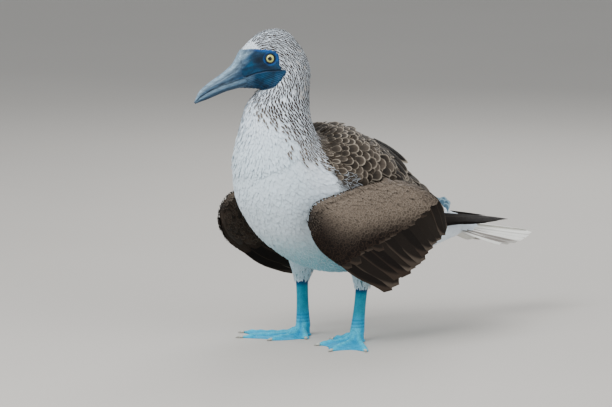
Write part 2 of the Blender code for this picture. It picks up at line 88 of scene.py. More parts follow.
def spline(keys: tuple | Array, share: Array) -> Array:
    """Points of a smooth curve through keys.

    Args:
        keys: rows of equally many numbers, evenly spaced along the curve.
        share: where to read the curve, 0 at the first key and 1 at the last.

    Returns:
        One row of numbers for each share.
    """
    rows = np.asarray(keys, float)
    spans = len(rows) - 1
    at = np.clip(np.asarray(share, float), 0.0, 1.0) * spans
    low = np.minimum(at.astype(int), spans - 1)
    t = (at - low)[..., None]
    a, b, c, d = (rows[np.clip(low + k, 0, spans)] for k in (-1, 0, 1, 2))
    return 0.5 * (2 * b + (c - a) * t + (2 * a - 5 * b + 4 * c - d) * t**2 + (3 * b - a - 3 * c + d) * t**3)


def blend(share: Array, low: Array | Colour, high: Array | Colour) -> Array:
    """Colours that go from low to high as share goes from 0 to 1."""
    part = np.asarray(share, float)[..., None]
    return np.asarray(low, float) * (1 - part) + np.asarray(high, float) * part


def rim_distance(points: Array, outline: tuple) -> Array:
    """Signed distance from points of a plane to a closed outline, positive inside.

    Args:
        points: rows of two coordinates.
        outline: the corners of the closed outline.

    Returns:
        One distance for each point.
    """
    corners = np.asarray(outline, float)
    inside = np.zeros(points.shape[:-1], bool)
    nearest = np.full(points.shape[:-1], 1e9)
    for a, b in zip(corners, np.roll(corners, -1, axis=0)):
        way = b - a
        share = np.clip(((points - a) @ way) / (way @ way), 0.0, 1.0)
        nearest = np.minimum(nearest, np.linalg.norm(points - a - share[..., None] * way, axis=-1))
        crosses = (a[1] > points[..., 1]) != (b[1] > points[..., 1])
        height = np.where(abs(way[1]) < 1e-12, 1e-12, way[1])
        inside ^= crosses & (points[..., 0] < way[0] * (points[..., 1] - a[1]) / height + a[0])
    return np.where(inside, nearest, -nearest)


def strip_faces(rows: int, columns: int, closed: bool = False) -> Array:
    """Squares between the points of a grid, whose last column joins the first if it is closed.

    Args:
        rows: number of the grid's rows.
        columns: number of its columns.
        closed: whether the last column joins the first.

    Returns:
        Rows of four point numbers.
    """
    across = columns if closed else columns - 1
    i, j = np.meshgrid(np.arange(rows - 1), np.arange(across), indexing="ij")
    k = (j + 1) % columns
    low, high = i * columns, (i + 1) * columns
    return np.stack([low + j, low + k, high + k, high + j], -1).reshape(-1, 4)


def full_circle(count: int) -> Array:
    """Evenly spaced angles once round, without the last one, which is the first again."""
    return np.linspace(0.0, 2 * np.pi, count, endpoint=False)


def upright_rings(centre: Array, widths: Array, around: int) -> Array:
    """Level ellipses round the centres, with their half widths along X and Y.

    Args:
        centre: rows of three coordinates.
        widths: rows of two half widths.
        around: number of points on a ring.

    Returns:
        An array of rings, points and coordinates.
    """
    turn = full_circle(around)
    return np.stack([
        centre[:, :1] + widths[:, :1] * np.cos(turn),
        centre[:, 1:2] + widths[:, 1:] * np.sin(turn),
        np.broadcast_to(centre[:, 2:], (len(centre), around)),
    ], -1)


def on_map(across: Array, along: Array, margin: float = 0.02) -> Array:
    """Map coordinates of shares from 0 to 1, a margin inside the map's border."""
    room = 1 - 2 * margin
    return np.stack([margin + room * across, margin + room * along], -1)


class Side(Enum):
    """The bird's own left or right."""

    LEFT = ("left", 1.0)
    RIGHT = ("right", -1.0)

    @property
    def label(self) -> str:
        """The side's word in the node names."""
        return self.value[0]

    @property
    def sign(self) -> float:
        """The side's direction along X."""
        return self.value[1]


@dataclass(frozen=True)
class Palette:
    """Colours of the living bird, with a few colours of painted shade, reflected light and highlight."""

    white: Colour = tone(229, 240, 250)
    # painted shade and blue reflected light that tint the white of the low belly, the underside of the breast
    # and the thighs
    cool_white: Colour = tone(112, 172, 184)
    cream: Colour = tone(250, 250, 244)
    streak_pale: Colour = tone(104, 98, 92)
    streak_brown: Colour = tone(44, 35, 30)
    nape_brown: Colour = tone(158, 142, 124)
    mantle_brown: Colour = tone(50, 43, 36)
    mantle_grey: Colour = tone(90, 81, 72)
    buff: Colour = tone(166, 156, 141)
    covert_brown: Colour = tone(102, 91, 80)
    covert_edge: Colour = tone(142, 130, 117)
    wing_dark: Colour = tone(17, 11, 8)
    wing_edge: Colour = tone(52, 40, 32)
    under_wing: Colour = tone(50, 41, 34)
    tail_brown: Colour = tone(84, 68, 56)
    # the rump tuft's white feathers painted as they look in shade, bluish grey, with their rims painted pale
    # where light catches them
    tuft_pale: Colour = tone(132, 160, 174)
    tuft_blue: Colour = tone(62, 86, 100)
    shaft: Colour = tone(96, 80, 64)
    gape_blue: Colour = tone(6, 84, 124)
    face_blue: Colour = tone(6, 60, 94)
    rim_blue: Colour = tone(2, 84, 156)
    lore_blue: Colour = tone(0, 13, 25)
    lid_blue: Colour = tone(4, 50, 96)
    bill_grey: Colour = tone(62, 98, 128)
    bill_pale: Colour = tone(142, 172, 194)
    bill_dark: Colour = tone(16, 28, 42)
    iris: Colour = tone(206, 214, 128)
    leg_blue: Colour = tone(0, 174, 220)
    leg_teal: Colour = tone(0, 150, 168)
    # painted highlight on the tops of the toes
    leg_pale: Colour = tone(66, 214, 242)
    leg_deep: Colour = tone(0, 70, 116)
    claw: Colour = tone(206, 208, 198)


PALETTE = Palette()


@dataclass(frozen=True)
class BodyForm:
    """Outline of tail root, trunk, neck and head, with the head turned to the bird's right.

    Each station holds the back's (y, z), the belly's (y, z) and half of the breadth.
    """

    stations: tuple = (
        ((0.2650, 0.1480), (0.2600, 0.1335), 0.0130),
        ((0.2360, 0.1620), (0.2260, 0.1245), 0.0250),
        ((0.2020, 0.1810), (0.1840, 0.1150), 0.0385),
        ((0.1590, 0.2140), (0.1360, 0.1030), 0.0515),
        ((0.1100, 0.2535), (0.0860, 0.0950), 0.0625),
        ((0.0590, 0.2910), (0.0320, 0.0925), 0.0700),
        ((0.0140, 0.3120), (-0.0240, 0.1000), 0.0735),
        ((-0.0150, 0.3130), (-0.0750, 0.1210), 0.0745),
        ((-0.0330, 0.3070), (-0.1235, 0.1580), 0.0722),
        ((-0.0435, 0.3080), (-0.1548, 0.2050), 0.0674),
        ((-0.0490, 0.3180), (-0.1638, 0.2510), 0.0600),
        ((-0.0520, 0.3325), (-0.1600, 0.2920), 0.0520),
        ((-0.0520, 0.3485), (-0.1500, 0.3280), 0.0445),
        ((-0.0515, 0.3655), (-0.1400, 0.3500), 0.0385),
        ((-0.0505, 0.3835), (-0.1275, 0.3650), 0.0335),
        ((-0.0525, 0.4040), (-0.1225, 0.3700), 0.0290),
        ((-0.0620, 0.4260), (-0.1265, 0.3712), 0.0255),
        ((-0.0850, 0.4515), (-0.1330, 0.3718), 0.0228),
        ((-0.1130, 0.4540), (-0.1400, 0.3722), 0.0193),
        ((-0.1345, 0.4425), (-0.1455, 0.3726), 0.0162),
        ((-0.1510, 0.4262), (-0.1510, 0.3728), 0.0138),
    )
    hips: float = 3.0
    breast: float = 8.0
    head: float = 15.0
    bill: float = 20.0
    fullness: float = 0.0125
    axis_y: float = -0.0930
    head_turn: float = math.radians(29.0)
    turn_low: float = 0.305
    turn_high: float = 0.372

    def straight(self, index: Array, angle: Array, grow: Array | float = 0.0) -> Array:
        """Points of the outline before the head is turned.

        Args:
            index: station, whole or between two stations.
            angle: way round the ring, 0 at the back and positive on the bird's left.
            grow: how far the outline is widened.

        Returns:
            The points.
        """
        keys = np.array([(*back, *belly, width) for back, belly, width in self.stations])
        values = spline(keys, np.asarray(index, float) / (len(keys) - 1))
        back_y, back_z, belly_y, belly_z, width = np.moveaxis(values, -1, 0)
        reach_y, reach_z = (back_y - belly_y) / 2, (back_z - belly_z) / 2
        stretch = (1 + grow / np.hypot(reach_y, reach_z)) * np.cos(angle)
        share = np.clip((index - self.hips) / (self.breast - self.hips), 0.0, 1.0)
        side = np.sign(np.sin(angle)) * np.abs(np.sin(angle)) ** 0.92 * (width + grow)
        side = side + self.fullness * np.sin(np.pi * share) ** 2 * np.sin(2 * angle) * (np.cos(angle) > 0)
        middle_y, middle_z = (back_y + belly_y) / 2, (back_z + belly_z) / 2
        return np.stack([side, middle_y + reach_y * stretch, middle_z + reach_z * stretch], -1)

    def turned(self, points: Array, share: float | None = None) -> Array:
        """The points after the head is turned, by a share of its turn or else as their height asks.

        Args:
            points: rows of three coordinates.
            share: share of the turn, or None to take it from the height.

        Returns:
            The turned points.
        """
        risen = smoothstep(self.turn_low, self.turn_high, points[..., 2]) if share is None else share
        angle = -self.head_turn * risen
        x, y = points[..., 0], points[..., 1] - self.axis_y
        return np.stack([
            x * np.cos(angle) - y * np.sin(angle),
            x * np.sin(angle) + y * np.cos(angle) + self.axis_y,
            points[..., 2],
        ], -1)

    def point(self, index: Array, angle: Array, grow: Array | float = 0.0) -> Array:
        """Points of the outline as the bird holds itself."""
        return self.turned(self.straight(index, angle, grow))

    def frame(self, index: Array, angle: Array, grow: Array | float = 0.0) -> tuple[Array, Array, Array]:
        """Points with their outward direction and the lie of the coat.

        Args:
            index: station.
            angle: way round the ring.
            grow: how far the outline is widened.

        Returns:
            Places, outward directions and directions along the coat, towards the tail.
        """
        step = 0.01
        ahead = self.point(index + step, angle, grow) - self.point(index - step, angle, grow)
        around = self.point(index, angle + step, grow) - self.point(index, angle - step, grow)
        up = unit(np.cross(ahead, around))
        flow = unit(-(ahead - np.sum(ahead * up, -1, keepdims=True) * up))
        return self.point(index, angle, grow), up, flow

    def profile(self, index: Array, angle: Array) -> Array:
        """Side-view coordinates on the head: forward of the neck's axis, and height."""
        place = self.straight(index, angle)
        return np.stack([self.axis_y - place[..., 1], place[..., 2]], -1)

    def coat_depth(self, index: Array) -> Array:
        """Depth of the plumage over the skin at a station.

        Args:
            index: station, whole or between two stations.

        Returns:
            The depth.
        """
        return spline(
            ((0.0025,), (0.0040,), (0.0045,), (0.0045,), (0.0040,), (0.0025,), (0.0016,), (0.0010,)),
            np.asarray(index, float) / self.bill,
        )[..., 0]


BODY = BodyForm()


@dataclass(frozen=True)
class Markings:
    """The pattern of the bird, the same on skin and coat, with painted shade on its underside."""

    face_outline: tuple = (
        (0.0630, 0.4262), (0.0575, 0.4269), (0.0470, 0.4285), (0.0174, 0.4274), (0.0100, 0.4257),
        (0.0074, 0.4183), (0.0068, 0.4050), (-0.0028, 0.4000), (-0.0028, 0.3968), (0.0075, 0.3835),
        (0.0150, 0.3755), (0.0235, 0.3720), (0.0280, 0.3680), (0.0630, 0.3680),
    )
    mouth_line: tuple = (
        (0.0920, 0.3737), (0.0755, 0.3817), (0.0572, 0.3880), (0.0392, 0.3948), (0.0240, 0.3982),
        (0.0000, 0.3995),
    )

    def face(self, index: Array, angle: Array) -> Array:
        """Distance inside the bare face, negative where the head is feathered."""
        inside = rim_distance(BODY.profile(index, angle), self.face_outline)
        return np.where(index > BODY.head - 0.5, inside, -0.05)

    def mantle_front(self, angle: Array) -> Array:
        """Station where the brown mantle ends, further back on the flanks."""
        off = np.abs(np.arctan2(np.sin(angle), np.cos(angle)))
        return 9.3 - 2.2 * smoothstep(math.radians(40), math.radians(90), off)

    def mottled(self, index: Array, angle: Array) -> Array:
        """Closeness to the mottled patch of each shoulder, from 0 to 1."""
        off = (np.abs(angle) - math.radians(68)) / math.radians(17)
        return np.exp(-(((index - 10.05) / 0.8) ** 2) - off**2)

    def body(self, index: Array, angle: Array) -> Array:
        """Colour of the plumage at a place of the body, with painted shade and blue reflected light low on
        the belly and under the breast.

        Args:
            index: station, whole or between two stations.
            angle: way round the ring, 0 at the back and positive on the bird's left.

        Returns:
            The colours.
        """
        place = BODY.straight(index, angle)
        upper = np.cos(angle)
        # painted shade and blue reflected light: the low belly and the underside of the breast go towards the
        # shaded teal white
        low = smoothstep(0.205, 0.110, place[..., 2]) * smoothstep(2.2, 3.4, index)
        breast = smoothstep(12.8, 10.5, index) * smoothstep(2.2, 3.4, index)
        low = np.maximum(low, 0.22 * smoothstep(0.3, -0.3, upper) * breast)
        colour = blend(low, PALETTE.white, PALETTE.cool_white)
        nape = (smoothstep(0.05, 0.75, upper) * smoothstep(10.0, 11.5, index)
                * (1 - smoothstep(16.0, 17.5, index)))
        colour = blend(0.75 * nape, colour, PALETTE.nape_brown)
        colour = blend(0.65 * self.mottled(index, angle), colour, PALETTE.nape_brown)
        front = self.mantle_front(angle)
        mantle = smoothstep(-0.10, 0.25, upper) * smoothstep(2.4, 3.1, index)
        return blend(
            mantle * (1 - smoothstep(front - 0.15, front + 0.35, index)), colour, PALETTE.mantle_brown)


MARKINGS = Markings()


class Wiring:
    """Adds nodes to a tree and joins them."""

    def __init__(self, tree: bpy.types.NodeTree) -> None:
        """Starts on a tree."""
        self.tree = tree

    def node(self, kind: str, inputs: dict | None = None, **settings: object) -> bpy.types.Node:
        """Adds a node.

        Args:
            kind: Blender's type name of the node.
            inputs: values or sockets by input name or number.
            **settings: properties of the node.

        Returns:
            The node.
        """
        made = self.tree.nodes.new(kind)
        for name, value in settings.items():
            setattr(made, name, value)
        for key, value in (inputs or {}).items():
            self.feed(made.inputs[key], value)
        return made

    def feed(self, socket: Socket, value: object) -> None:
        """Links a socket, or sets it where the value is plain.

        Args:
            socket: the input.
            value: a socket, a plain value, or None to leave the input as it is.
        """
        if isinstance(value, Socket):
            self.tree.links.new(value, socket)
        elif value is not None:
            wide = len(getattr(socket, "default_value", ())) if isinstance(value, tuple) else 0
            socket.default_value = (*value, 1.0) if wide == 4 and len(value) == 3 else value

    def math(self, operation: str, *values: object) -> Socket:
        """The outcome of one sum.

        Args:
            operation: Blender's name of the operation.
            *values: values or sockets.

        Returns:
            The outcome's socket.
        """
        made = self.node("ShaderNodeMath", operation=operation)
        for socket, value in zip(made.inputs, values):
            self.feed(socket, value)
        return made.outputs[0]

    def times(self, first: object, second: object) -> Socket:
        """The product of two values."""
        return self.math("MULTIPLY", first, second)

    def plus(self, first: object, second: object) -> Socket:
        """The sum of two values."""
        return self.math("ADD", first, second)

    def minus(self, first: object, second: object) -> Socket:
        """The first value less the second."""
        return self.math("SUBTRACT", first, second)

    def vector(self, operation: str, *values: object) -> Socket:
        """The outcome of one sum with vectors.

        Args:
            operation: Blender's name of the operation.
            *values: values or sockets.

        Returns:
            The outcome's socket.
        """
        made = self.node("ShaderNodeVectorMath", operation=operation)
        for socket, value in zip(made.inputs, values):
            self.feed(socket, value)
        return made.outputs[1 if operation in ("LENGTH", "DOT_PRODUCT") else 0]

    def ramp(self, value: object, low: float, high: float, start: object = 0.0, end: object = 1.0) -> Socket:
        """A smooth change from start to end as value goes from low to high."""
        inputs = {"Value": value, "From Min": low, "From Max": high, "To Min": start, "To Max": end}
        return self.node("ShaderNodeMapRange", inputs, interpolation_type="SMOOTHSTEP").outputs[0]

    def mix(self, share: object, low: object, high: object, how: str = "MIX") -> Socket:
        """Two colours mixed."""
        made = self.node("ShaderNodeMix", {0: share, 6: low, 7: high}, data_type="RGBA", blend_type=how)
        return made.outputs[2]

    def noise(self, at: object, scale: float, detail: float = 2.0, stretch: tuple | None = None) -> Socket:
        """A noise value about 0.5 at a place, stretched along the axes if asked.

        Args:
            at: where it is read.
            scale: how fine it is.
            detail: how much finer detail it has.
            stretch: factors along the three axes, or None.

        Returns:
            The noise's socket.
        """
        if stretch:
            at = self.vector("MULTIPLY", at, stretch)
        made = self.node("ShaderNodeTexNoise", {"Vector": at, "Scale": scale, "Detail": detail})
        return made.outputs["Fac"]

    def attribute(self, name: str, output: str) -> Socket:
        """What a mesh attribute holds."""
        return self.node("ShaderNodeAttribute", attribute_name=name).outputs[output]


def shader_group(
    name: str, takes: dict[str, str], gives: dict[str, str]
) -> tuple[bpy.types.NodeTree, Wiring, dict, dict]:
    """Starts a shared shader group.

    Args:
        name: the group's name.
        takes: kinds of its inputs by name.
        gives: kinds of its outputs by name.

    Returns:
        The tree, its wiring, the sockets that carry its inputs and the ones that take its outputs.
    """
    tree = bpy.data.node_groups.new(name, "ShaderNodeTree")
    for label, kind in takes.items():
        tree.interface.new_socket(label, in_out="INPUT", socket_type="NodeSocket" + kind)
    for label, kind in gives.items():
        tree.interface.new_socket(label, in_out="OUTPUT", socket_type="NodeSocket" + kind)
    wires = Wiring(tree)
    entry, leave = wires.node("NodeGroupInput"), wires.node("NodeGroupOutput")
    return tree, wires, dict(entry.outputs.items()), dict(leave.inputs.items())


class SharedEffects:
    """Shader groups that several finishes use, with the numbers that each finish gives them."""

    feather_numbers = ("Tip From", "Side Weight", "Shade Spread", "Fringe From", "Fringe Width", "Fringe",
                       "Shaft Width", "Shaft Share", "Barbs", "Barb Depth", "Root Shade", "Shade Until")
    grain_numbers = ("Cells", "Mottle", "Mottle Share")

    def __init__(self) -> None:
        """Builds the groups."""
        self.feather = self.build_feather()
        self.grain = self.build_grain()

    def build_feather(self) -> bpy.types.NodeTree:
        """Fringe, barbs and shaft of a feather, with painted shade towards its covered root, from its own
        lengthwise and crosswise coordinates.

        Returns:
            The group.
        """
        takes = {"Vane": "Vector", "Base": "Color", "Edge": "Color", "Shaft": "Color", "Variation": "Float",
                 **dict.fromkeys(self.feather_numbers, "Float")}
        gives = {"Colour": "Color", "Height": "Float"}
        tree, wires, takes_from, gives_to = shader_group("feather_pattern", takes, gives)
        parts = wires.node("ShaderNodeSeparateXYZ", {0: takes_from["Vane"]})
        along, aside = parts.outputs[0], wires.math("ABSOLUTE", parts.outputs[1])
        beyond = wires.math("MAXIMUM", wires.minus(along, takes_from["Tip From"]), 0.0)
        near_tip = wires.math("DIVIDE", beyond, wires.minus(1.0, takes_from["Tip From"]))
        beside = wires.math("POWER", wires.times(aside, takes_from["Side Weight"]), 2.0)
        rim = wires.math("SQRT", wires.plus(beside, wires.math("POWER", near_tip, 2.0)))
        jitter = wires.times(wires.minus(takes_from["Variation"], 0.5), 0.18)
        start = wires.plus(takes_from["Fringe From"], jitter)
        inputs = {"Value": rim, "From Min": start, "From Max": wires.plus(start, takes_from["Fringe Width"])}
        fringe = wires.node("ShaderNodeMapRange", inputs, interpolation_type="SMOOTHSTEP").outputs[0]
        slant = wires.plus(along, wires.times(aside, -0.35))
        wave = wires.math("SINE", wires.times(slant, wires.times(takes_from["Barbs"], 6.2832)))
        ripple = wires.noise(takes_from["Vane"], 9.0, 2.0, (1.0, 3.0, 1.0))
        barbs = wires.times(wires.plus(wave, wires.times(ripple, 1.6)),
                           takes_from["Barb Depth"])
        # painted shade: the feather darkens towards its root, where the feathers over it would shade it
        covered = wires.minus(takes_from["Shade Until"], 0.5)
        shade = wires.ramp(along, covered, takes_from["Shade Until"], takes_from["Root Shade"], 1.0)
        shade = wires.plus(shade, barbs)
        uneven = wires.minus(takes_from["Variation"], 0.5)
        shade = wires.plus(shade, wires.times(uneven, takes_from["Shade Spread"]))
        grey = wires.node("ShaderNodeCombineXYZ", {0: shade, 1: shade, 2: shade}).outputs[0]
        colour = wires.mix(1.0, takes_from["Base"], grey, "MULTIPLY")
        colour = wires.mix(wires.times(fringe, takes_from["Fringe"]), colour, takes_from["Edge"])
        close = wires.node(
            "ShaderNodeMapRange", {"Value": aside, "From Min": takes_from["Shaft Width"], "From Max": 0.0})
        shaft = wires.times(close.outputs[0], wires.ramp(along, 0.98, 0.75))
        colour = wires.mix(wires.times(shaft, takes_from["Shaft Share"]), colour, takes_from["Shaft"])
        wires.feed(gives_to["Colour"], colour)
        wires.feed(gives_to["Height"], wires.plus(shaft, wires.times(wave, 0.25)))
        return tree

    def build_grain(self) -> bpy.types.NodeTree:
        """Fine pebbled grain and broad mottling of skin and horn, on the piece's own coordinates.

        Returns:
            The group.
        """
        takes = {"Place": "Vector", "Base": "Color", "Deep": "Color",
                 **dict.fromkeys(self.grain_numbers, "Float")}
        gives = {"Colour": "Color", "Height": "Float", "Roughness": "Float"}
        tree, wires, takes_from, gives_to = shader_group("skin_grain", takes, gives)
        cells = wires.node(
            "ShaderNodeTexVoronoi", {"Vector": takes_from["Place"], "Scale": takes_from["Cells"]},
            feature="DISTANCE_TO_EDGE",
        ).outputs["Distance"]
        crease = wires.ramp(cells, 0.0, 0.16)
        mottle = wires.node("ShaderNodeTexNoise", {
            "Vector": takes_from["Place"], "Scale": takes_from["Mottle"], "Detail": 4.0,
        }).outputs["Fac"]
        spread = wires.times(wires.ramp(mottle, 0.36, 0.68), takes_from["Mottle Share"])
        colour = wires.mix(spread, takes_from["Base"], takes_from["Deep"])
        colour = wires.mix(wires.times(wires.minus(1.0, crease), 0.35), colour, takes_from["Deep"])
        wires.feed(gives_to["Colour"], colour)
        wires.feed(gives_to["Height"], wires.plus(wires.times(crease, 0.6), wires.times(mottle, 0.8)))
        wires.feed(gives_to["Roughness"], wires.ramp(mottle, 0.3, 0.7, 0.42, 0.62))
        return tree


@dataclass(frozen=True)
class Finish:
    """A finish: the Principled shader with its plain values."""

    name: str
    roughness: float = 0.6
    specular: float = 0.4
    coat: float = 0.0

    def start(self) -> tuple[bpy.types.Material, Wiring, bpy.types.Node]:
        """The new material, its wiring and its shader.

        Returns:
            The material, its wiring and its shader node.
        """
        made = bpy.data.materials.new(self.name)
        made.use_nodes = True
        shader = made.node_tree.nodes["Principled BSDF"]
        shader.inputs["Roughness"].default_value = self.roughness
        shader.inputs["Specular IOR Level"].default_value = self.specular
        shader.inputs["Coat Weight"].default_value = self.coat
        shader.inputs["Coat Roughness"].default_value = 0.05
        return made, Wiring(made.node_tree), shader

    def numbers(self, labels: tuple[str, ...]) -> list[tuple[str, float]]:
        """This finish's own values for a group's inputs, which have the same names as its fields."""
        return [(label, getattr(self, label.lower().replace(" ", "_"))) for label in labels]


@dataclass(frozen=True)
class FeatherFinish(Finish):
    """Plumage: colours come from the feather, the pattern from the shared group."""

    tip_from: float = 0.66
    side_weight: float = 1.0
    shade_spread: float = 0.3
    fringe_from: float = 0.7
    fringe_width: float = 0.22
    fringe: float = 1.0
    shaft: Colour = PALETTE.shaft
    shaft_width: float = 0.10
    shaft_share: float = 0.0
    barbs: float = 14.0
    barb_depth: float = 0.03
    # painted shade at the covered root, and how far along the feather it reaches
    root_shade: float = 0.72
    shade_until: float = 0.55
    relief: float = 0.0
    sheen: float = 0.0

    def build(self, effects: SharedEffects) -> bpy.types.Material:
        """The feather material.

        Args:
            effects: the shared groups.

        Returns:
            The material.
        """
        made, wires, shader = self.start()
        group = wires.node("ShaderNodeGroup", node_tree=effects.feather)
        for name, value in (
            ("Vane", wires.attribute("vane", "Vector")), ("Base", wires.attribute("base", "Color")),
            ("Edge", wires.attribute("edge", "Color")), ("Shaft", self.shaft),
            ("Variation", wires.attribute("variation", "Fac")), *self.numbers(effects.feather_numbers),
        ):
            wires.feed(group.inputs[name], value)
        wires.feed(shader.inputs["Base Color"], group.outputs["Colour"])
        shader.inputs["Sheen Weight"].default_value = self.sheen
        if self.relief:
            bump = wires.node("ShaderNodeBump", {
                "Strength": 0.6, "Distance": self.relief, "Height": group.outputs["Height"],
            })
            wires.feed(shader.inputs["Normal"], bump.outputs[0])
        return made


@dataclass(frozen=True)
class SkinFinish(Finish):
    """Bare or covered skin and horn: the piece's own tint under the shared grain."""

    deep: Colour = PALETTE.lore_blue
    cells: float = 900.0
    mottle: float = 90.0
    mottle_share: float = 0.4
    relief: float = 0.0003
    stretch: tuple[float, float, float] = (1.0, 1.0, 1.0)
    follows: str = ""

    def build(self, effects: SharedEffects) -> bpy.types.Material:
        """The skin material.

        Args:
            effects: the shared groups.

        Returns:
            The material.
        """
        made, wires, shader = self.start()
        if self.follows:
            place = wires.attribute(self.follows, "Vector")
        else:
            place = wires.node("ShaderNodeTexCoord").outputs["Object"]
        place = wires.vector("MULTIPLY", place, self.stretch)
        group = wires.node("ShaderNodeGroup", node_tree=effects.grain)
        for name, value in (("Place", place), ("Base", wires.attribute("tint", "Color")), ("Deep", self.deep),
                            *self.numbers(effects.grain_numbers)):
            wires.feed(group.inputs[name], value)
        wires.feed(shader.inputs["Base Color"], group.outputs["Colour"])
        wires.feed(shader.inputs["Roughness"], group.outputs["Roughness"])
        bump = wires.node("ShaderNodeBump", {
            "Strength": 0.5, "Distance": self.relief, "Height": group.outputs["Height"],
        })
        wires.feed(shader.inputs["Normal"], bump.outputs[0])
        return made


@dataclass(frozen=True)
class EyeFinish(Finish):
    """Iris, pupil and the dark rim of the iris, from the distance to the eye's axis."""

    pupil: float = 0.0029
    iris_rim: float = 0.0061

    def build(self) -> bpy.types.Material:
        """The eye material.

        Returns:
            The material.
        """
        made, wires, shader = self.start()
        gaze = wires.attribute("gaze", "Vector")
        off = wires.vector("LENGTH", gaze)
        rays = wires.noise(wires.vector("NORMALIZE", gaze), 9.0, 4.0)
        flecks = wires.noise(gaze, 700.0, 3.0)
        colour = wires.mix(wires.ramp(rays, 0.35, 0.7), PALETTE.iris, tone(168, 158, 84))
        colour = wires.mix(wires.times(wires.ramp(flecks, 0.5, 0.75), 0.4), colour, tone(232, 228, 166))
        colour = wires.mix(
            wires.ramp(off, self.pupil + 0.0011, self.pupil + 0.0002, 0.0, 0.5), colour, tone(120, 112, 60))
        colour = wires.mix(wires.ramp(off, self.iris_rim - 0.0008, self.iris_rim), colour, tone(24, 28, 30))
        colour = wires.mix(wires.ramp(off, self.pupil + 0.00012, self.pupil - 0.00012), colour, tone(6, 6, 8))
        wires.feed(shader.inputs["Base Color"], colour)
        return made


class Finishes:
    """All finishes of the bird, built once."""

    def __init__(self) -> None:
        """Builds every material."""
        shared = SharedEffects()
        self.down = FeatherFinish(
            "white_plumage", roughness=0.75, specular=0.2, shade_spread=0.12, fringe_from=0.75,
            barb_depth=0.015, sheen=0.15,
        ).build(shared)
        self.streaked = FeatherFinish(
            "streaked_plumage", roughness=0.7, specular=0.15, tip_from=0.85, fringe_from=0.60,
            barb_depth=0.03,
        ).build(shared)
        self.coverts = FeatherFinish(
            "covert_plumage", roughness=0.7, specular=0.12, side_weight=0.85, fringe_from=0.60, fringe=0.75,
            shade_spread=0.5, shaft_share=0.3, shaft=PALETTE.wing_dark, shaft_width=0.12, barb_depth=0.05,
        ).build(shared)
        # strong painted shade over the covered part of each mantle feather, as if cast by the row above
        self.mantle = FeatherFinish(
            "mantle_plumage", roughness=0.65, specular=0.15, side_weight=0.80, fringe_from=0.55,
            fringe_width=0.42, fringe=0.9, shaft_share=0.5, shaft=PALETTE.wing_dark, shaft_width=0.07,
            barbs=26.0, barb_depth=0.07, root_shade=0.35, shade_until=0.92, relief=0.0004,
        ).build(shared)
        # painted shade at the roots of the small mantle feathers
        self.small_mantle = FeatherFinish(
            "small_mantle_plumage", roughness=0.65, specular=0.15, side_weight=0.9, tip_from=0.62,
            fringe_from=0.50, fringe_width=0.45, fringe=0.7, root_shade=0.55, shade_until=0.85,
        ).build(shared)
        self.flight = FeatherFinish(
            "flight_plumage", roughness=0.6, specular=0.12, fringe_from=0.84, fringe=0.7, shaft_share=0.3,
            shaft_width=0.05, barbs=60.0, barb_depth=0.06, relief=0.0003,
        ).build(shared)
        self.tail = FeatherFinish(
            "tail_plumage", roughness=0.55, specular=0.3, fringe_from=0.80, fringe=0.8, shaft_share=0.5,
            shaft_width=0.06, barbs=60.0, barb_depth=0.04, relief=0.0003,
        ).build(shared)
        self.skin = SkinFinish(
            "feathered_skin", roughness=0.8, specular=0.2, deep=PALETTE.mantle_brown, cells=260.0,
            mottle=60.0, mottle_share=0.12, relief=0.0006,
        ).build(shared)
        self.face = SkinFinish(
            "bare_face", roughness=0.5, specular=0.2, cells=900.0, mottle=150.0, mottle_share=0.6,
            relief=0.0004, stretch=(1.0, 0.4, 1.0), follows="grain_way",
        ).build(shared)
        self.horn = SkinFinish(
            "bill_horn", roughness=0.42, specular=0.3, deep=PALETTE.bill_dark, cells=420.0, mottle=260.0,
            mottle_share=0.4, relief=0.0002, stretch=(1.0, 0.10, 1.0), follows="grain_way",
        ).build(shared)
        self.leg = SkinFinish(
            "blue_leg_skin", roughness=0.5, specular=0.2, deep=PALETTE.leg_deep, cells=520.0, mottle=120.0,
            mottle_share=0.20, relief=0.0006,
        ).build(shared)
        self.claw = SkinFinish(
            "claw_horn", roughness=0.35, specular=0.5, deep=tone(120, 122, 114), cells=300.0, mottle=260.0,
            mottle_share=0.4, relief=0.0001,
        ).build(shared)
        self.eye = EyeFinish("eye", roughness=0.12, specular=0.25, coat=0.35).build()


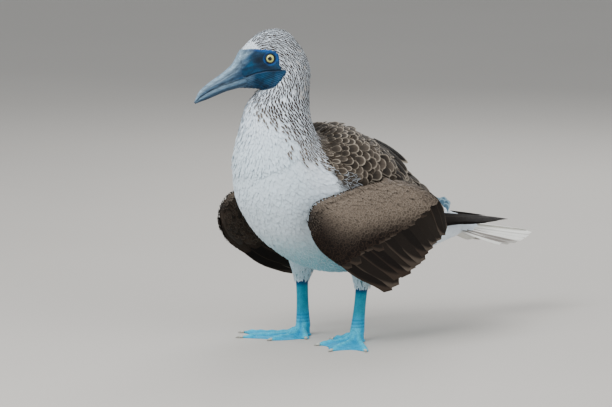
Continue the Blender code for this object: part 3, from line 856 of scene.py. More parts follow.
class Bench:
    """Makes meshes in the bird's own frame and seats the finished pieces in the file's frame."""

    def __init__(self, shift: Array) -> None:
        """Starts with the way from the file's origin to the bird's own."""
        self.shift = shift

    def mesh(self, name: str, points: Array, faces: Array | list) -> Object:
        """A mesh object of points in the bird's frame, smoothly shaded.

        Args:
            name: the object's name.
            points: rows of three coordinates.
            faces: rows of point numbers.

        Returns:
            The object, at the origin.
        """
        made = bpy.data.meshes.new(name)
        placed = np.asarray(points, float).reshape(-1, 3) - self.shift
        listed = faces.tolist() if isinstance(faces, Array) else faces
        made.from_pydata(placed.tolist(), [], listed)
        if len(listed):
            made.shade_smooth()
        obj = bpy.data.objects.new(name, made)
        bpy.context.scene.collection.objects.link(obj)
        return obj

    def places(self, obj: Object) -> Array:
        """The object's points in the bird's frame.

        Args:
            obj: the object.

        Returns:
            Rows of three coordinates.
        """
        flat = np.empty(len(obj.data.vertices) * 3)
        obj.data.vertices.foreach_get("co", flat)
        return flat.reshape(-1, 3) + self.shift

    def move(self, obj: Object, points: Array) -> None:
        """Puts the object's points at places in the bird's frame."""
        obj.data.vertices.foreach_set("co", (points - self.shift).ravel())
        obj.data.update()

    @staticmethod
    def store(obj: Object, name: str, values: Array) -> None:
        """Writes a value, vector or colour for each point of the object.

        Args:
            obj: the object.
            name: the attribute's name.
            values: a number or a row for each point.
        """
        rows = np.asarray(values, np.float32).reshape(len(obj.data.vertices), -1)
        if name in ("base", "edge", "tint"):
            rows = np.concatenate([rows, np.ones((len(rows), 1), np.float32)], 1)
        kind, key = {
            1: ("FLOAT", "value"), 3: ("FLOAT_VECTOR", "vector"), 4: ("FLOAT_COLOR", "color"),
        }[rows.shape[1]]
        layer = obj.data.attributes.new(name, kind, "POINT")
        layer.data.foreach_set(key, rows.ravel())

    @staticmethod
    def outward(obj: Object) -> None:
        """Turns all faces outwards.

        Args:
            obj: the object.
        """
        work = bmesh.new()
        work.from_mesh(obj.data)
        bmesh.ops.recalc_face_normals(work, faces=work.faces)
        work.to_mesh(obj.data)
        work.free()

    @staticmethod
    def applied(obj: Object) -> None:
        """Turns the object's modifiers into plain mesh.

        Args:
            obj: the object.
        """
        graph = bpy.context.evaluated_depsgraph_get()
        made = bpy.data.meshes.new_from_object(obj.evaluated_get(graph))
        obj.modifiers.clear()
        obj.data = made

    def fused(self, parts: list[Object], name: str, voxel: float, smoothing: int) -> Object:
        """One closed surface round several closed parts.

        Args:
            parts: closed objects, which are used up.
            name: name of the outcome.
            voxel: size of its squares.
            smoothing: rounds of smoothing.

        Returns:
            The joined object.
        """
        points, faces, start = [], [], 0
        for part in parts:
            self.outward(part)
            here = self.places(part)
            points.append(here)
            faces += [tuple(start + v for v in face.vertices) for face in part.data.polygons]
            start += len(here)
            bpy.data.objects.remove(part)
        whole = self.mesh(name, np.concatenate(points), faces)
        remesh = whole.modifiers.new("fuse", "REMESH")
        remesh.mode = "VOXEL"
        remesh.voxel_size = voxel
        remesh.use_smooth_shade = True
        soften = whole.modifiers.new("soften", "SMOOTH")
        soften.factor = 0.5
        soften.iterations = smoothing
        self.applied(whole)
        return whole

    @staticmethod
    def seat(obj: Object, slot: str, finish: bpy.types.Material | None, *nodes: str) -> Object:
        """Dresses a finished piece, fixes it to the still body and hides the nodes that it stands for.

        Args:
            obj: the piece.
            slot: the record's slot, which is not used.
            finish: its material, or None where it has one.
            *nodes: the solids that it stands for.

        Returns:
            The piece.
        """
        if finish:
            obj.data.materials.clear()
            obj.data.materials.append(finish)
        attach(obj, "root")
        if nodes:
            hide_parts(*nodes)
        log.info("%s: %d faces", obj.name, len(obj.data.polygons))
        return obj


def tube(rings: Array) -> tuple[Array, list]:
    """Points and faces of a closed solid through rings of points.

    Args:
        rings: an array of rings, points and coordinates.

    Returns:
        The points and the faces.
    """
    count, around = rings.shape[:2]
    points = np.concatenate([rings.reshape(-1, 3), rings[0].mean(0)[None], rings[-1].mean(0)[None]])
    faces = strip_faces(count, around, True).tolist()
    for start, centre in ((0, len(points) - 2), ((count - 1) * around, len(points) - 1)):
        faces += [(start + j, start + (j + 1) % around, centre) for j in range(around)]
    return points, faces


@dataclass(frozen=True)
class VaneShape:
    """One small feather, a thin closed wedge one unit long with its root at the origin."""

    name: str
    half_width: float = 0.20
    rings: tuple = ((0.16, 0.55), (0.50, 1.0), (0.84, 0.78))
    across: int = 3
    camber: float = 0.30
    sink: float = 0.05
    rise: float = 0.20
    droop: float = 0.12

    def build(self) -> Object:
        """The feather's object, which is kept out of the picture.

        Returns:
            The feather's object.
        """
        share = np.linspace(-1.0, 1.0, self.across)
        points, coords = [(0.0, 0.0, -self.sink)], [(0.0, 0.0, 0.0)]
        for along, width in self.rings:
            height = -self.sink + self.rise * along - self.droop * along**2
            for v in share:
                bend = self.camber * self.half_width * width * (1 - v * v)
                points.append((along, v * width * self.half_width, height + bend))
                coords.append((along, v, 0.0))
        points.append((1.0, 0.0, -self.sink + self.rise - self.droop))
        coords.append((1.0, 0.0, 0.0))
        around, last = self.across, len(points) - 1
        faces = [(0, 1 + j, 1 + (j + 1) % around) for j in range(around)]
        faces += (1 + strip_faces(len(self.rings), around, True)).tolist()
        faces += [(last, last - around + (j + 1) % around, last - around + j) for j in range(around)]
        mesh = bpy.data.meshes.new(self.name)
        mesh.from_pydata(points, [], faces)
        obj = bpy.data.objects.new(self.name, mesh)
        bpy.context.scene.collection.objects.link(obj)
        Bench.outward(obj)
        mesh.shade_smooth()
        mesh.set_sharp_from_angle(angle=math.radians(62))
        Bench.store(obj, "vane", np.array(coords))
        obj.hide_render = True
        return obj


@dataclass
class Tract:
    """A feathered area: a grid of places with what each feather there looks like."""

    place: Array
    up: Array
    flow: Array
    base: Array
    edge: Array
    size: Array
    keep: Array
    unwrap: Array
    closed: bool = False

    def build(self, bench: Bench, name: str) -> Object:
        """The tract as a surface that feathers are scattered on, or as single roots where it has one row.

        Args:
            bench: makes the mesh.
            name: the object's name.

        Returns:
            The tract's object.
        """
        rows, columns = self.place.shape[:2]
        faces = strip_faces(rows, columns, self.closed) if rows > 1 else []
        obj = bench.mesh(name, self.place, faces)
        flat = np.concatenate([self.unwrap, np.zeros((*self.unwrap.shape[:-1], 1))], -1)
        for label, values in (("up", self.up), ("flow", self.flow), ("base", self.base), ("edge", self.edge),
                              ("size", self.size), ("keep", self.keep), ("root_uv", flat)):
            bench.store(obj, label, values)
        return obj


class CoatTree:
    """Geometry Nodes tree that plants feathers over a tract and lays each one along the coat."""

    inputs = {"Vane": "Object", "Spacing": "Float", "Seed": "Int", "Turn": "Float", "Lift": "Float",
              "Size Spread": "Float", "Patch": "Float", "Finish": "Material"}

    def __init__(self, name: str, scattered: bool) -> None:
        """Builds the tree.

        Args:
            name: its name.
            scattered: whether it scatters over faces, or else plants one feather on each point.
        """
        self.tree = bpy.data.node_groups.new(name, "GeometryNodeTree")
        face = self.tree.interface
        face.new_socket("Tract", in_out="INPUT", socket_type="NodeSocketGeometry")
        self.sockets = {
            label: face.new_socket(label, in_out="INPUT", socket_type="NodeSocket" + kind).identifier
            for label, kind in self.inputs.items()
        }
        face.new_socket("Coat", in_out="OUTPUT", socket_type="NodeSocketGeometry")
        wires = Wiring(self.tree)
        entry, leave = wires.node("NodeGroupInput"), wires.node("NodeGroupOutput")
        given = entry.outputs
        if scattered:
            packing = wires.math("DIVIDE", 2.2, wires.times(given["Spacing"], given["Spacing"]))
            roots = wires.node("GeometryNodeDistributePointsOnFaces", distribute_method="POISSON")
            for key, value in (
                ("Mesh", given["Tract"]), ("Distance Min", given["Spacing"]), ("Density Max", packing),
                ("Density Factor", self.named(wires, "keep", "FLOAT")), ("Seed", given["Seed"]),
            ):
                wires.feed(roots.inputs[key], value)
        else:
            roots = wires.node("GeometryNodeMeshToPoints", {"Mesh": given["Tract"]})
        chance = wires.node(
            "FunctionNodeRandomValue", {2: 0.0, 3: 1.0, "Seed": given["Seed"]}, data_type="FLOAT")
        marked = self.kept(wires, roots.outputs[0], "variation", "FLOAT", "POINT", chance.outputs[1])
        lying = wires.node("FunctionNodeAxesToRotation", {
            "Primary Axis": self.named(wires, "up", "FLOAT_VECTOR"),
            "Secondary Axis": self.named(wires, "flow", "FLOAT_VECTOR"),
        }, primary_axis="Z", secondary_axis="X")
        reach = wires.node("ShaderNodeCombineXYZ", {
            0: given["Turn"], 1: given["Lift"], 2: given["Turn"],
        }).outputs[0]
        swing = wires.node("FunctionNodeRandomValue", {
            0: wires.vector("MULTIPLY", reach, (-1.0, -1.0, -1.0)), 1: reach,
            "Seed": wires.plus(given["Seed"], 7.0),
        }, data_type="FLOAT_VECTOR")
        tilt = wires.node("FunctionNodeEulerToRotation", {0: swing.outputs[0]})
        stance = wires.node("FunctionNodeRotateRotation", {0: lying.outputs[0], 1: tilt.outputs[0]},
                            rotation_space="LOCAL")
        spread = wires.node("FunctionNodeRandomValue", {
            2: wires.minus(1.0, given["Size Spread"]), 3: wires.plus(1.0, given["Size Spread"]),
            "Seed": wires.plus(given["Seed"], 13.0),
        }, data_type="FLOAT")
        size = wires.times(self.named(wires, "size", "FLOAT"), spread.outputs[1])
        feather = wires.node("GeometryNodeObjectInfo", {"Object": given["Vane"]})
        planted = wires.node("GeometryNodeInstanceOnPoints", {
            "Points": marked, "Instance": feather.outputs["Geometry"], "Rotation": stance.outputs[0],
            "Scale": wires.node("ShaderNodeCombineXYZ", {0: size, 1: size, 2: size}).outputs[0],
        })
        real = wires.node("GeometryNodeRealizeInstances", {"Geometry": planted.outputs[0]})
        vane = wires.node("ShaderNodeSeparateXYZ", {0: self.named(wires, "vane", "FLOAT_VECTOR")})
        aside = wires.times(wires.times(vane.outputs[1], 0.5), given["Patch"])
        along = wires.times(wires.minus(vane.outputs[0], 0.5), given["Patch"])
        offset = wires.node("ShaderNodeCombineXYZ", {0: aside, 1: along}).outputs[0]
        spot = wires.vector("ADD", self.named(wires, "root_uv", "FLOAT_VECTOR"), offset)
        mapped = self.kept(wires, real.outputs[0], "OFBake", "FLOAT2", "CORNER", spot)
        dressed = wires.node("GeometryNodeSetMaterial", {"Geometry": mapped, "Material": given["Finish"]})
        wires.feed(leave.inputs[0], dressed.outputs[0])

    @staticmethod
    def named(wires: Wiring, name: str, kind: str) -> Socket:
        """What an attribute of that name holds."""
        return wires.node("GeometryNodeInputNamedAttribute", {"Name": name}, data_type=kind).outputs[0]

    @staticmethod
    def kept(wires: Wiring, shape: object, name: str, kind: str, domain: str, value: object) -> Socket:
        """The geometry with a value stored on it under a name.

        Args:
            wires: wiring of the tree.
            shape: the geometry's socket.
            name: the value's name.
            kind: its data type.
            domain: what it belongs to, such as points.
            value: what it holds.

        Returns:
            The geometry's new socket.
        """
        made = wires.node("GeometryNodeStoreNamedAttribute", data_type=kind, domain=domain)
        for key, given in (("Geometry", shape), ("Name", name), ("Value", value)):
            wires.feed(made.inputs[key], given)
        return made.outputs[0]

    def grow(self, surface: Object, settings: dict[str, object]) -> Object:
        """Turns a tract into its feathers.

        Args:
            surface: the tract's object, which becomes the coat.
            settings: values of the tree's inputs by name.

        Returns:
            The coat as a plain mesh.
        """
        modifier = surface.modifiers.new("coat", "NODES")
        modifier.node_group = self.tree
        for name, value in settings.items():
            modifier[self.sockets[name]] = value
        Bench.applied(surface)
        for label in ("up", "flow", "size", "keep", "root_uv", "id"):
            layer = surface.data.attributes.get(label)
            if layer:
                surface.data.attributes.remove(layer)
        return surface


class FeatherStack:
    """Large feathers, each a thin curved blade with its own strip of the map, gathered into one piece."""

    rows = 15
    columns = 7

    def __init__(self, thickness: float = 0.0005) -> None:
        """Starts an empty stack of blades of that thickness.

        Args:
            thickness: how thick a blade is.
        """
        self.thickness = thickness
        self.points: list[Array] = []
        self.vanes: list[Array] = []
        self.looks: list[tuple] = []

    def lay(
        self, spine: Array, up: Array, half: float, look: tuple, narrow: float, tip: float,
        cup: float, tilt: float = 0.0, edge_share: float = 0.5, breadths: tuple = (),
    ) -> None:
        """Adds one feather.

        Args:
            spine: rows of places along its shaft, from root to tip.
            up: directions of its upper face along the shaft.
            half: half of its widest breadth.
            look: its base and edge colours and a number from 0 to 1 that varies it.
            narrow: breadth at the root as a share of the widest.
            tip: share of the length where the tip starts to round off.
            cup: how much it curves across, as a share of its half breadth.
            tilt: how far its first edge stands out and its second lies in.
            edge_share: where the shaft runs across the blade.
            breadths: shares of the half breadth along it, where it doesn't just widen from its root.
        """
        along = np.linspace(0.0, 1.0, self.rows)
        centre = spline(spine, along)
        face = unit(spline(up, along))
        way = unit(np.gradient(centre, axis=0))
        aside = unit(np.cross(face, way))
        face = unit(np.cross(way, aside))
        if breadths:
            breadth = half * spline(tuple((b,) for b in breadths), along)[..., 0]
        else:
            breadth = half * (narrow + (1 - narrow) * np.sin(np.pi / 2 * np.minimum(1.0, along / 0.45)))
        breadth = breadth * np.sqrt(np.maximum(0.0012, 1 - np.clip((along - tip) / (1 - tip), 0, 1) ** 2))
        across = np.linspace(-1.0, 1.0, self.columns)
        shifted = across + (edge_share - 0.5) * 2 * (1 - across**2)
        place = centre[:, None] + aside[:, None] * (across[None, :, None] * breadth[:, None, None])
        bow = -cup * across[None, :] ** 2 * breadth[:, None] - tilt * across[None, :]
        place = place + face[:, None] * bow[..., None]
        thick = self.thickness / 2 * (1 - 0.7 * np.abs(across))
        ridge = self.thickness * 0.8 * np.exp(-((shifted / 0.12) ** 2)) * (1 - along[:, None])
        top = place + face[:, None] * (thick[None, :] + ridge)[..., None]
        bottom = place - face[:, None] * (thick[None, :] + ridge * 0.6)[..., None]
        u, v = np.meshgrid(along, shifted, indexing="ij")
        vane = np.stack([u, v, np.zeros_like(u)], -1)
        self.points.append(np.stack([top, bottom]))
        self.vanes.append(np.stack([vane, vane]))
        self.looks.append(look)

    def build(self, bench: Bench, name: str) -> Object:
        """The piece that holds all the blades of the stack.

        Args:
            bench: makes the mesh.
            name: the piece's name.

        Returns:
            The piece.
        """
        per = self.rows * self.columns
        front = strip_faces(self.rows, self.columns)
        grid = np.arange(per).reshape(self.rows, self.columns)
        rim = np.concatenate([grid[0, :-1], grid[:-1, -1], grid[-1, :0:-1], grid[:0:-1, 0]])
        ahead = np.roll(rim, -1)
        closing = np.stack([rim, ahead, ahead + per, rim + per], -1)
        blade = np.concatenate([front[:, ::-1], front + per, closing])
        count = len(self.points)
        faces = (blade[None] + (np.arange(count) * 2 * per)[:, None, None]).reshape(-1, 4)
        obj = bench.mesh(name, np.concatenate([p.reshape(-1, 3) for p in self.points]), faces)
        vanes = np.array(self.vanes)
        bench.store(obj, "vane", vanes)
        for k, label in enumerate(("base", "edge")):
            bench.store(obj, label, np.repeat([look[k] for look in self.looks], 2 * per, axis=0))
        bench.store(obj, "variation", np.repeat([look[2] for look in self.looks], 2 * per))
        strip = (
            np.arange(count)[:, None, None, None] + 0.22 + 0.5 * np.arange(2)[None, :, None, None]) / count
        u = strip + np.clip(vanes[..., 1], -1, 1) * 0.19 / count
        v = 0.02 + 0.96 * vanes[..., 0]
        flat = np.stack([u, v], -1).reshape(-1, 2)
        corners = np.empty(len(obj.data.loops), np.int32)
        obj.data.loops.foreach_get("vertex_index", corners)
        layer = obj.data.uv_layers.new(name="OFBake")
        layer.data.foreach_set("uv", flat[corners].astype(np.float32).ravel())
        bench.outward(obj)
        obj.data.set_sharp_from_angle(angle=math.radians(50))
        return obj


@dataclass
class Skin:
    """One closed skin under the whole plumage, inside the solids by the depth of the coat."""

    voxel: float = 0.0024
    rows: int = 161
    around: int = 96
    wing_depth: float = 0.0018
    thigh_depth: float = 0.0030
    shoulder_radius: float = 0.0070
    smoothing: int = 4

    def build(self, bench: Bench, wings: list["Wing"], legs: list["Leg"]) -> Object:
        """The fused skin with the markings of the coat above it.

        Args:
            bench: makes the meshes.
            wings: both wings, whose fleshy part is under the skin.
            legs: both legs, whose thighs are under it.

        Returns:
            The skin.
        """
        index = np.linspace(0.0, BODY.bill, self.rows)
        angle = full_circle(self.around)
        i, a = np.meshgrid(index, angle, indexing="ij")
        rings = BODY.point(i, a, -BODY.coat_depth(i))
        parts = [bench.mesh("trunk_flesh", *tube(rings))]
        samples = [rings.reshape(-1, 3)]
        tints = [MARKINGS.body(i, a).reshape(-1, 3)]
        bare = smoothstep(-0.001, 0.002, MARKINGS.face(i, a)).reshape(-1)
        tints[0] = blend(bare, tints[0], PALETTE.face_blue)
        for wing in wings:
            flesh, colour = wing.flesh(self.wing_depth)
            parts.append(bench.mesh("wing_flesh", *tube(flesh)))
            samples.append(flesh.reshape(-1, 3))
            tints.append(colour.reshape(-1, 3))
            parts.append(bench.mesh("shoulder_flesh", *tube(wing.shoulder(self.shoulder_radius))))
        for leg in legs:
            rings = leg.thigh_rings(-self.thigh_depth)
            parts.append(bench.mesh("thigh_flesh", *tube(rings)))
            samples.append(rings.reshape(-1, 3))
            # painted shade: the thigh skin takes the shaded teal white
            tints.append(np.tile(PALETTE.cool_white, (rings.shape[0] * rings.shape[1], 1)))
        skin = bench.fused(parts, "skin", self.voxel, self.smoothing)
        known, colours = np.concatenate(samples), np.concatenate(tints)
        tree = KDTree(len(known))
        for number, place in enumerate(known):
            tree.insert(place, number)
        tree.balance()
        nearest = [tree.find(place)[1] for place in bench.places(skin)]
        bench.store(skin, "tint", colours[nearest])
        return skin


@dataclass
class HeadDetail:
    """Bare face, lids, eyes and bill."""

    eye_reach: float = 0.0185
    eye_height: float = 0.4155
    eye_side: float = 0.0160
    eye_radius: float = 0.0082
    opening: float = 0.0062
    lid_radius: float = 0.0068
    lid_tube: float = 0.0010
    gaze_forward: float = math.radians(7.0)
    gaze_up: float = math.radians(3.0)
    socket_up: float = math.radians(4.0)
    cornea: float = 0.0004
    groove_depth: float = 0.0009
    dive: float = 0.0032
    bill_stations: tuple = (
        (0.0500, 0.4256, 0.3885, 0.3735, 0.0132),
        (0.0580, 0.4262, 0.3868, 0.3728, 0.0138),
        (0.0680, 0.4085, 0.3835, 0.3706, 0.0116),
        (0.0802, 0.3966, 0.3790, 0.3672, 0.0095),
        (0.0940, 0.3868, 0.3730, 0.3617, 0.0075),
        (0.1070, 0.3775, 0.3664, 0.3565, 0.0056),
        (0.1170, 0.3678, 0.3596, 0.3532, 0.0038),
        (0.1240, 0.3540, 0.3521, 0.3503, 0.0014),
    )
    lower_share: float = 0.9614
    grain_slope: tuple[float, float] = (0.94, 0.34)
    mouth_gap: float = 0.0004

    def eye_centre(self, side: Side) -> Array:
        """Centre of an eyeball."""
        return BODY.turned(
            np.array([side.sign * self.eye_side, BODY.axis_y - self.eye_reach, self.eye_height]))

    def mouth_height(self, reach: Array) -> Array:
        """Height of the mouth's line at a distance forward of the neck's axis, on face and bill.

        Args:
            reach: distance forward of the neck's axis.

        Returns:
            The height over the floor.
        """
        gape = sorted(key for key in MARKINGS.mouth_line if key[0] < 0.05)
        keys = np.array(gape + [(row[0], row[2]) for row in self.bill_stations[1:]])
        return np.interp(reach, keys[:, 0], keys[:, 1])

    def tint(self, reach: Array, height: Array) -> Array:
        """One pattern over bare face and bill, from a place in the head's side view.

        Args:
            reach: distance forward of the neck's axis.
            height: height over the floor.

        Returns:
            The colours.
        """
        keys = np.array(self.bill_stations[1:])
        mouth = self.mouth_height(reach)
        culmen, chin = (np.interp(reach, keys[:, 0], keys[:, k]) for k in (1, 3))
        above = np.clip((height - mouth) / (culmen - mouth), 0, 1)
        below = np.clip((mouth - height) / (mouth - chin), 0, 1)
        lines = 0.5 + 0.5 * np.sin(2 * np.pi * (above * 6.0 + 0.4 * np.sin(reach * 140)))
        # paler towards the culmen: partly the horn's own pale grey, partly a painted highlight along the
        # ridge
        horn = blend(smoothstep(0.12, 0.85, above), PALETTE.bill_grey, PALETTE.bill_pale)
        horn = blend(0.50 * lines * smoothstep(1.0, 0.3, above), horn, PALETTE.bill_dark)
        horn = blend(
            0.88 * smoothstep(0.24, 0.12, above + 0.05 * np.sin(reach * 420)), horn, PALETTE.bill_dark)
        horn = blend(0.35 * smoothstep(0.05, 0.02, above), horn, PALETTE.bill_pale)
        lower = blend(0.4 + 0.6 * smoothstep(0.22, 0.60, below), PALETTE.bill_pale, PALETTE.bill_grey)
        lower = blend(0.75 * smoothstep(0.45, 0.95, below), lower, PALETTE.bill_dark)
        lower = blend(0.80 * smoothstep(0.10, 0.03, below), lower, PALETTE.bill_dark)
        lower = blend(0.55 * smoothstep(0.075, 0.055, reach), lower, PALETTE.bill_grey)
        upper_half = height > mouth
        horn = np.where(upper_half[..., None], horn, lower)
        edge = np.where(upper_half, 0.0470 + (0.426 - height) * 0.526, 0.0460)
        edge = edge + 0.0025 * np.sin(above * 19.0 + reach * 260)
        wide = 0.0085
        rim = smoothstep(0.0040, 0.0008, rim_distance(np.stack([reach, height], -1), MARKINGS.face_outline))
        face = blend(rim * smoothstep(0.405, 0.418, height), PALETTE.face_blue, PALETTE.rim_blue)
        lore = np.exp(-(((reach - 0.034) / 0.012) ** 2) - ((height - 0.4130) / 0.0085) ** 2)
        cheek = np.exp(-(((reach - 0.022) / 0.010) ** 2) - ((height - 0.4035) / 0.0035) ** 2)
        face = blend(np.clip(0.75 * lore + 0.6 * cheek, 0, 1), face, PALETTE.lore_blue)
        gape = np.exp(-(((reach - 0.018) / 0.012) ** 2) - ((height - 0.3890) / 0.0060) ** 2)
        fore = np.exp(-(((reach - 0.046) / 0.007) ** 2) - ((height - 0.4080) / 0.0130) ** 2)
        face = blend(np.clip(0.60 * gape + 0.55 * fore, 0, 1), face, PALETTE.gape_blue)
        share = np.clip((reach - edge) / (2 * wide) + 0.5, 0, 1)
        return blend(share * share * (3 - 2 * share), face, horn)

    def grain_way(self, side_way: Array, reach: Array, height: Array) -> Array:
        """Coordinates that run along the bill, for the grain of face and horn."""
        along, across = self.grain_slope
        return np.stack([side_way, along * reach - across * height, across * reach + along * height], -1)

    def eye_axes(self, side: Side, gaze: bool) -> Array:
        """Rows of three directions: out along the eye, forward on the head, and up.

        Args:
            side: which eye.
            gaze: whether to take the eyeball's own direction, or else its socket's.

        Returns:
            The three directions, one in each row.
        """
        forward = self.gaze_forward if gaze else 0.0
        rise = self.gaze_up if gaze else self.socket_up
        out = np.array([side.sign * math.cos(forward) * math.cos(rise), -math.sin(forward), math.sin(rise)])
        turn = -BODY.head_turn
        spin = np.array([
            [math.cos(turn), -math.sin(turn), 0],
            [math.sin(turn), math.cos(turn), 0],
            [0, 0, 1],
        ])
        out = spin @ out
        ahead = spin @ np.array([0.0, -1.0, 0.0])
        up = unit(np.cross(out, ahead) * side.sign)
        if up[2] < 0:
            up = -up
        ahead = unit(np.cross(up, out))
        if ahead[1] > 0:
            ahead = -ahead
        return np.array([out, ahead, up])

    def build_face(self, bench: Bench) -> Object:
        """The bare skin round the eyes, the gape and the throat.

        Args:
            bench: makes the mesh.

        Returns:
            The face, which dives under the skin where the feathers begin.
        """
        rows, around = 290, 340
        index = np.linspace(BODY.head - 0.3, BODY.bill, rows)
        angle = full_circle(around)
        i, a = np.meshgrid(index, angle, indexing="ij")
        place, up, _ = BODY.frame(i, a)
        inside = MARKINGS.face(i, a)
        side_view = BODY.profile(i, a)
        lift = 0.0003 - self.dive * smoothstep(0.0005, -0.0030, inside)
        reach, height = side_view[..., 0], side_view[..., 1]
        tint = self.tint(reach, height)
        line = self.mouth_height(reach)
        off = (height - line) / 0.0009
        gape = smoothstep(-0.001, 0.004, reach)
        groove = np.exp(-off * off) * gape
        lift -= self.groove_depth * groove
        lift += 0.0003 * np.exp(-((np.abs(off) - 2.0) ** 2)) * gape
        throat = np.clip((line - 0.0020 - height) / 0.004, 0, 1)
        folds = np.sin((self.grain_slope[1] * reach + self.grain_slope[0] * height) * 2 * np.pi / 0.0024)
        lift += 0.00024 * throat * folds
        # darker along the mouth's dented groove: partly the dark line where the jaws meet, partly painted
        # shade in the dent
        tint = blend(0.75 * groove, tint, PALETTE.lore_blue)
        # painted shade in the troughs of the throat folds
        tint = blend(0.35 * throat * smoothstep(0.2, 1.0, -folds), tint, PALETTE.lore_blue)
        for side in Side:
            out, _, _ = self.eye_axes(side, False)
            off_centre = place - self.eye_centre(side)
            depth = off_centre @ out
            flat = off_centre - depth[..., None] * out
            round_eye = np.linalg.norm(flat, axis=-1)
            near = (depth > 0) & (round_eye < 0.02)
            sunk = np.where(near, np.exp(-((round_eye / 0.0085) ** 4)), 0.0)
            lift -= 0.0004 * sunk
            folds = np.where(near, np.sin((round_eye - self.lid_radius) * 2 * np.pi / 0.0019), 0.0)
            lift += 0.00022 * folds * np.exp(-(((round_eye - 0.0095) / 0.0020) ** 2))
            hole = np.where(near, smoothstep(self.opening + 0.0006, self.opening - 0.0004, round_eye), 0.0)
            lift -= 0.006 * hole
            tint = blend(
                np.where(near, 0.8 * smoothstep(0.0110, 0.0088, round_eye), 0.0), tint, PALETTE.rim_blue)
            tint = blend(
                np.where(near, 0.8 * smoothstep(0.0088, 0.0076, round_eye), 0.0), tint, PALETTE.lore_blue)
        place = place + up * lift[..., None]
        face = bench.mesh("face", place, strip_faces(rows, around, True)[:, ::-1])
        bench.store(face, "tint", tint)
        bench.store(face, "grain_way", self.grain_way(BODY.straight(i, a)[..., 0], reach, height))
        return face

    def build_lids(self, bench: Bench, side: Side) -> Object:
        """The ring of skin round one eye.

        Args:
            bench: makes the mesh.
            side: which eye.

        Returns:
            The piece.
        """
        out, ahead, rise = self.eye_axes(side, False)
        centre = self.eye_centre(side)
        turns, around = 96, 14
        turn = full_circle(turns)
        way = np.cos(turn)[:, None] * ahead + np.sin(turn)[:, None] * rise
        radius = self.lid_radius * (1 - 0.035 * np.abs(np.sin(turn)) ** 3)
        depth = math.sqrt(self.eye_radius**2 - self.opening**2) + 0.0005
        middle = centre + way * radius[:, None] + out * depth
        roll = full_circle(around)
        beads = 1 + 0.10 * np.sin(turn * 34)
        across, height = self.lid_tube, self.lid_tube * 0.85
        ring = (middle[:, None]
                + way[:, None] * (np.cos(roll)[None, :, None] * across * beads[:, None, None])
                + out * (np.sin(roll)[None, :, None] * height * beads[:, None, None]))
        faces = strip_faces(turns, around, True).tolist()
        last = (turns - 1) * around
        faces += [(last + j, last + (j + 1) % around, (j + 1) % around, j) for j in range(around)]
        lids = bench.mesh(f"lids_{side.label}", ring, faces)
        bench.outward(lids)
        inner = smoothstep(0.75, -0.10, np.cos(roll))
        tint = blend(np.tile(inner, (turns, 1)), PALETTE.lid_blue, PALETTE.lore_blue)
        bench.store(lids, "tint", tint)
        return lids

    def build_eye(self, bench: Bench, side: Side) -> Object:
        """One eyeball with a slightly raised cornea.

        Args:
            bench: makes the mesh.
            side: which eye.

        Returns:
            The piece.
        """
        out, ahead, rise = self.eye_axes(side, True)
        polar, turns = 49, 64
        tilt = np.linspace(0, np.pi, polar + 2)[1:-1]
        turn = full_circle(turns)
        t, p = np.meshgrid(tilt, turn, indexing="ij")
        flat = self.eye_radius * np.sin(t)
        radius = self.eye_radius + self.cornea * np.exp(-((flat / 0.0042) ** 2)) * (np.cos(t) > 0)
        shape = (np.cos(t)[..., None] * out + np.sin(t)[..., None]
                 * (np.cos(p)[..., None] * ahead + np.sin(p)[..., None] * rise))
        rings = self.eye_centre(side) + radius[..., None] * shape
        points, faces = tube(rings)
        points[-2] = self.eye_centre(side) + out * (self.eye_radius + self.cornea)
        points[-1] = self.eye_centre(side) - out * self.eye_radius
        eye = bench.mesh(f"eyeball_{side.label}", points, faces)
        bench.outward(eye)
        off = points - self.eye_centre(side)
        depth = off @ out
        gaze = np.stack([off @ ahead, off @ rise, np.where(depth > 0, 0.0, 0.01)], -1)
        bench.store(eye, "gaze", gaze)
        return eye

    def build_bill(self, bench: Bench, upper: bool) -> Object:
        """One half of the bill, with the groove along its side.

        Args:
            bench: makes the mesh.
            upper: whether it is the upper half.

        Returns:
            The half.
        """
        steps, arc, flat = 90, 34, 12
        share = np.linspace(0.0, 1.0 if upper else self.lower_share, steps)
        reach, culmen, mouth, lower, half = spline(self.bill_stations, share).T
        reach = reach + 0.0004
        if upper:
            low, high = mouth + self.mouth_gap / 2, culmen
        else:
            low, high = mouth - self.mouth_gap / 2, lower
            half = half * 0.965
        turn = np.linspace(0.0, np.pi, arc)
        cos, sin = np.cos(turn), np.sin(turn)
        groove_at = math.radians(34.0 if upper else 38.0)
        fold = (np.exp(-(((turn - groove_at) / 0.13) ** 2))
                + np.exp(-(((np.pi - turn - groove_at) / 0.13) ** 2)))
        strength = 0.075 * smoothstep(0.0, 0.1, share) * (1 - smoothstep(0.66, 0.86, share))
        width = np.sign(cos) * np.abs(cos) ** 0.8
        x = width[None] * half[:, None] * (1 - strength[:, None] * fold[None])
        z = low[:, None] + (high - low)[:, None] * sin[None] ** 0.9
        edge = np.linspace(-1.0, 1.0, flat + 2)[1:-1]
        x = np.concatenate([x, edge[None] * half[:, None] * 0.94], 1)
        hollow = (high - low)[:, None] * 0.10 * (1 - edge[None] ** 2)
        z = np.concatenate([z, low[:, None] + hollow], 1)
        y = np.broadcast_to((BODY.axis_y - reach)[:, None], x.shape)
        rings = BODY.turned(np.stack([x, y, z], -1), 1.0)
        obj = bench.mesh("bill_upper" if upper else "bill_lower", *tube(rings))
        bench.outward(obj)
        obj.data.set_sharp_from_angle(angle=math.radians(55))
        fold_all = np.concatenate([np.broadcast_to(fold[None], (steps, arc)), np.zeros((steps, flat))], 1)
        tint = self.tint(BODY.axis_y - y, z)
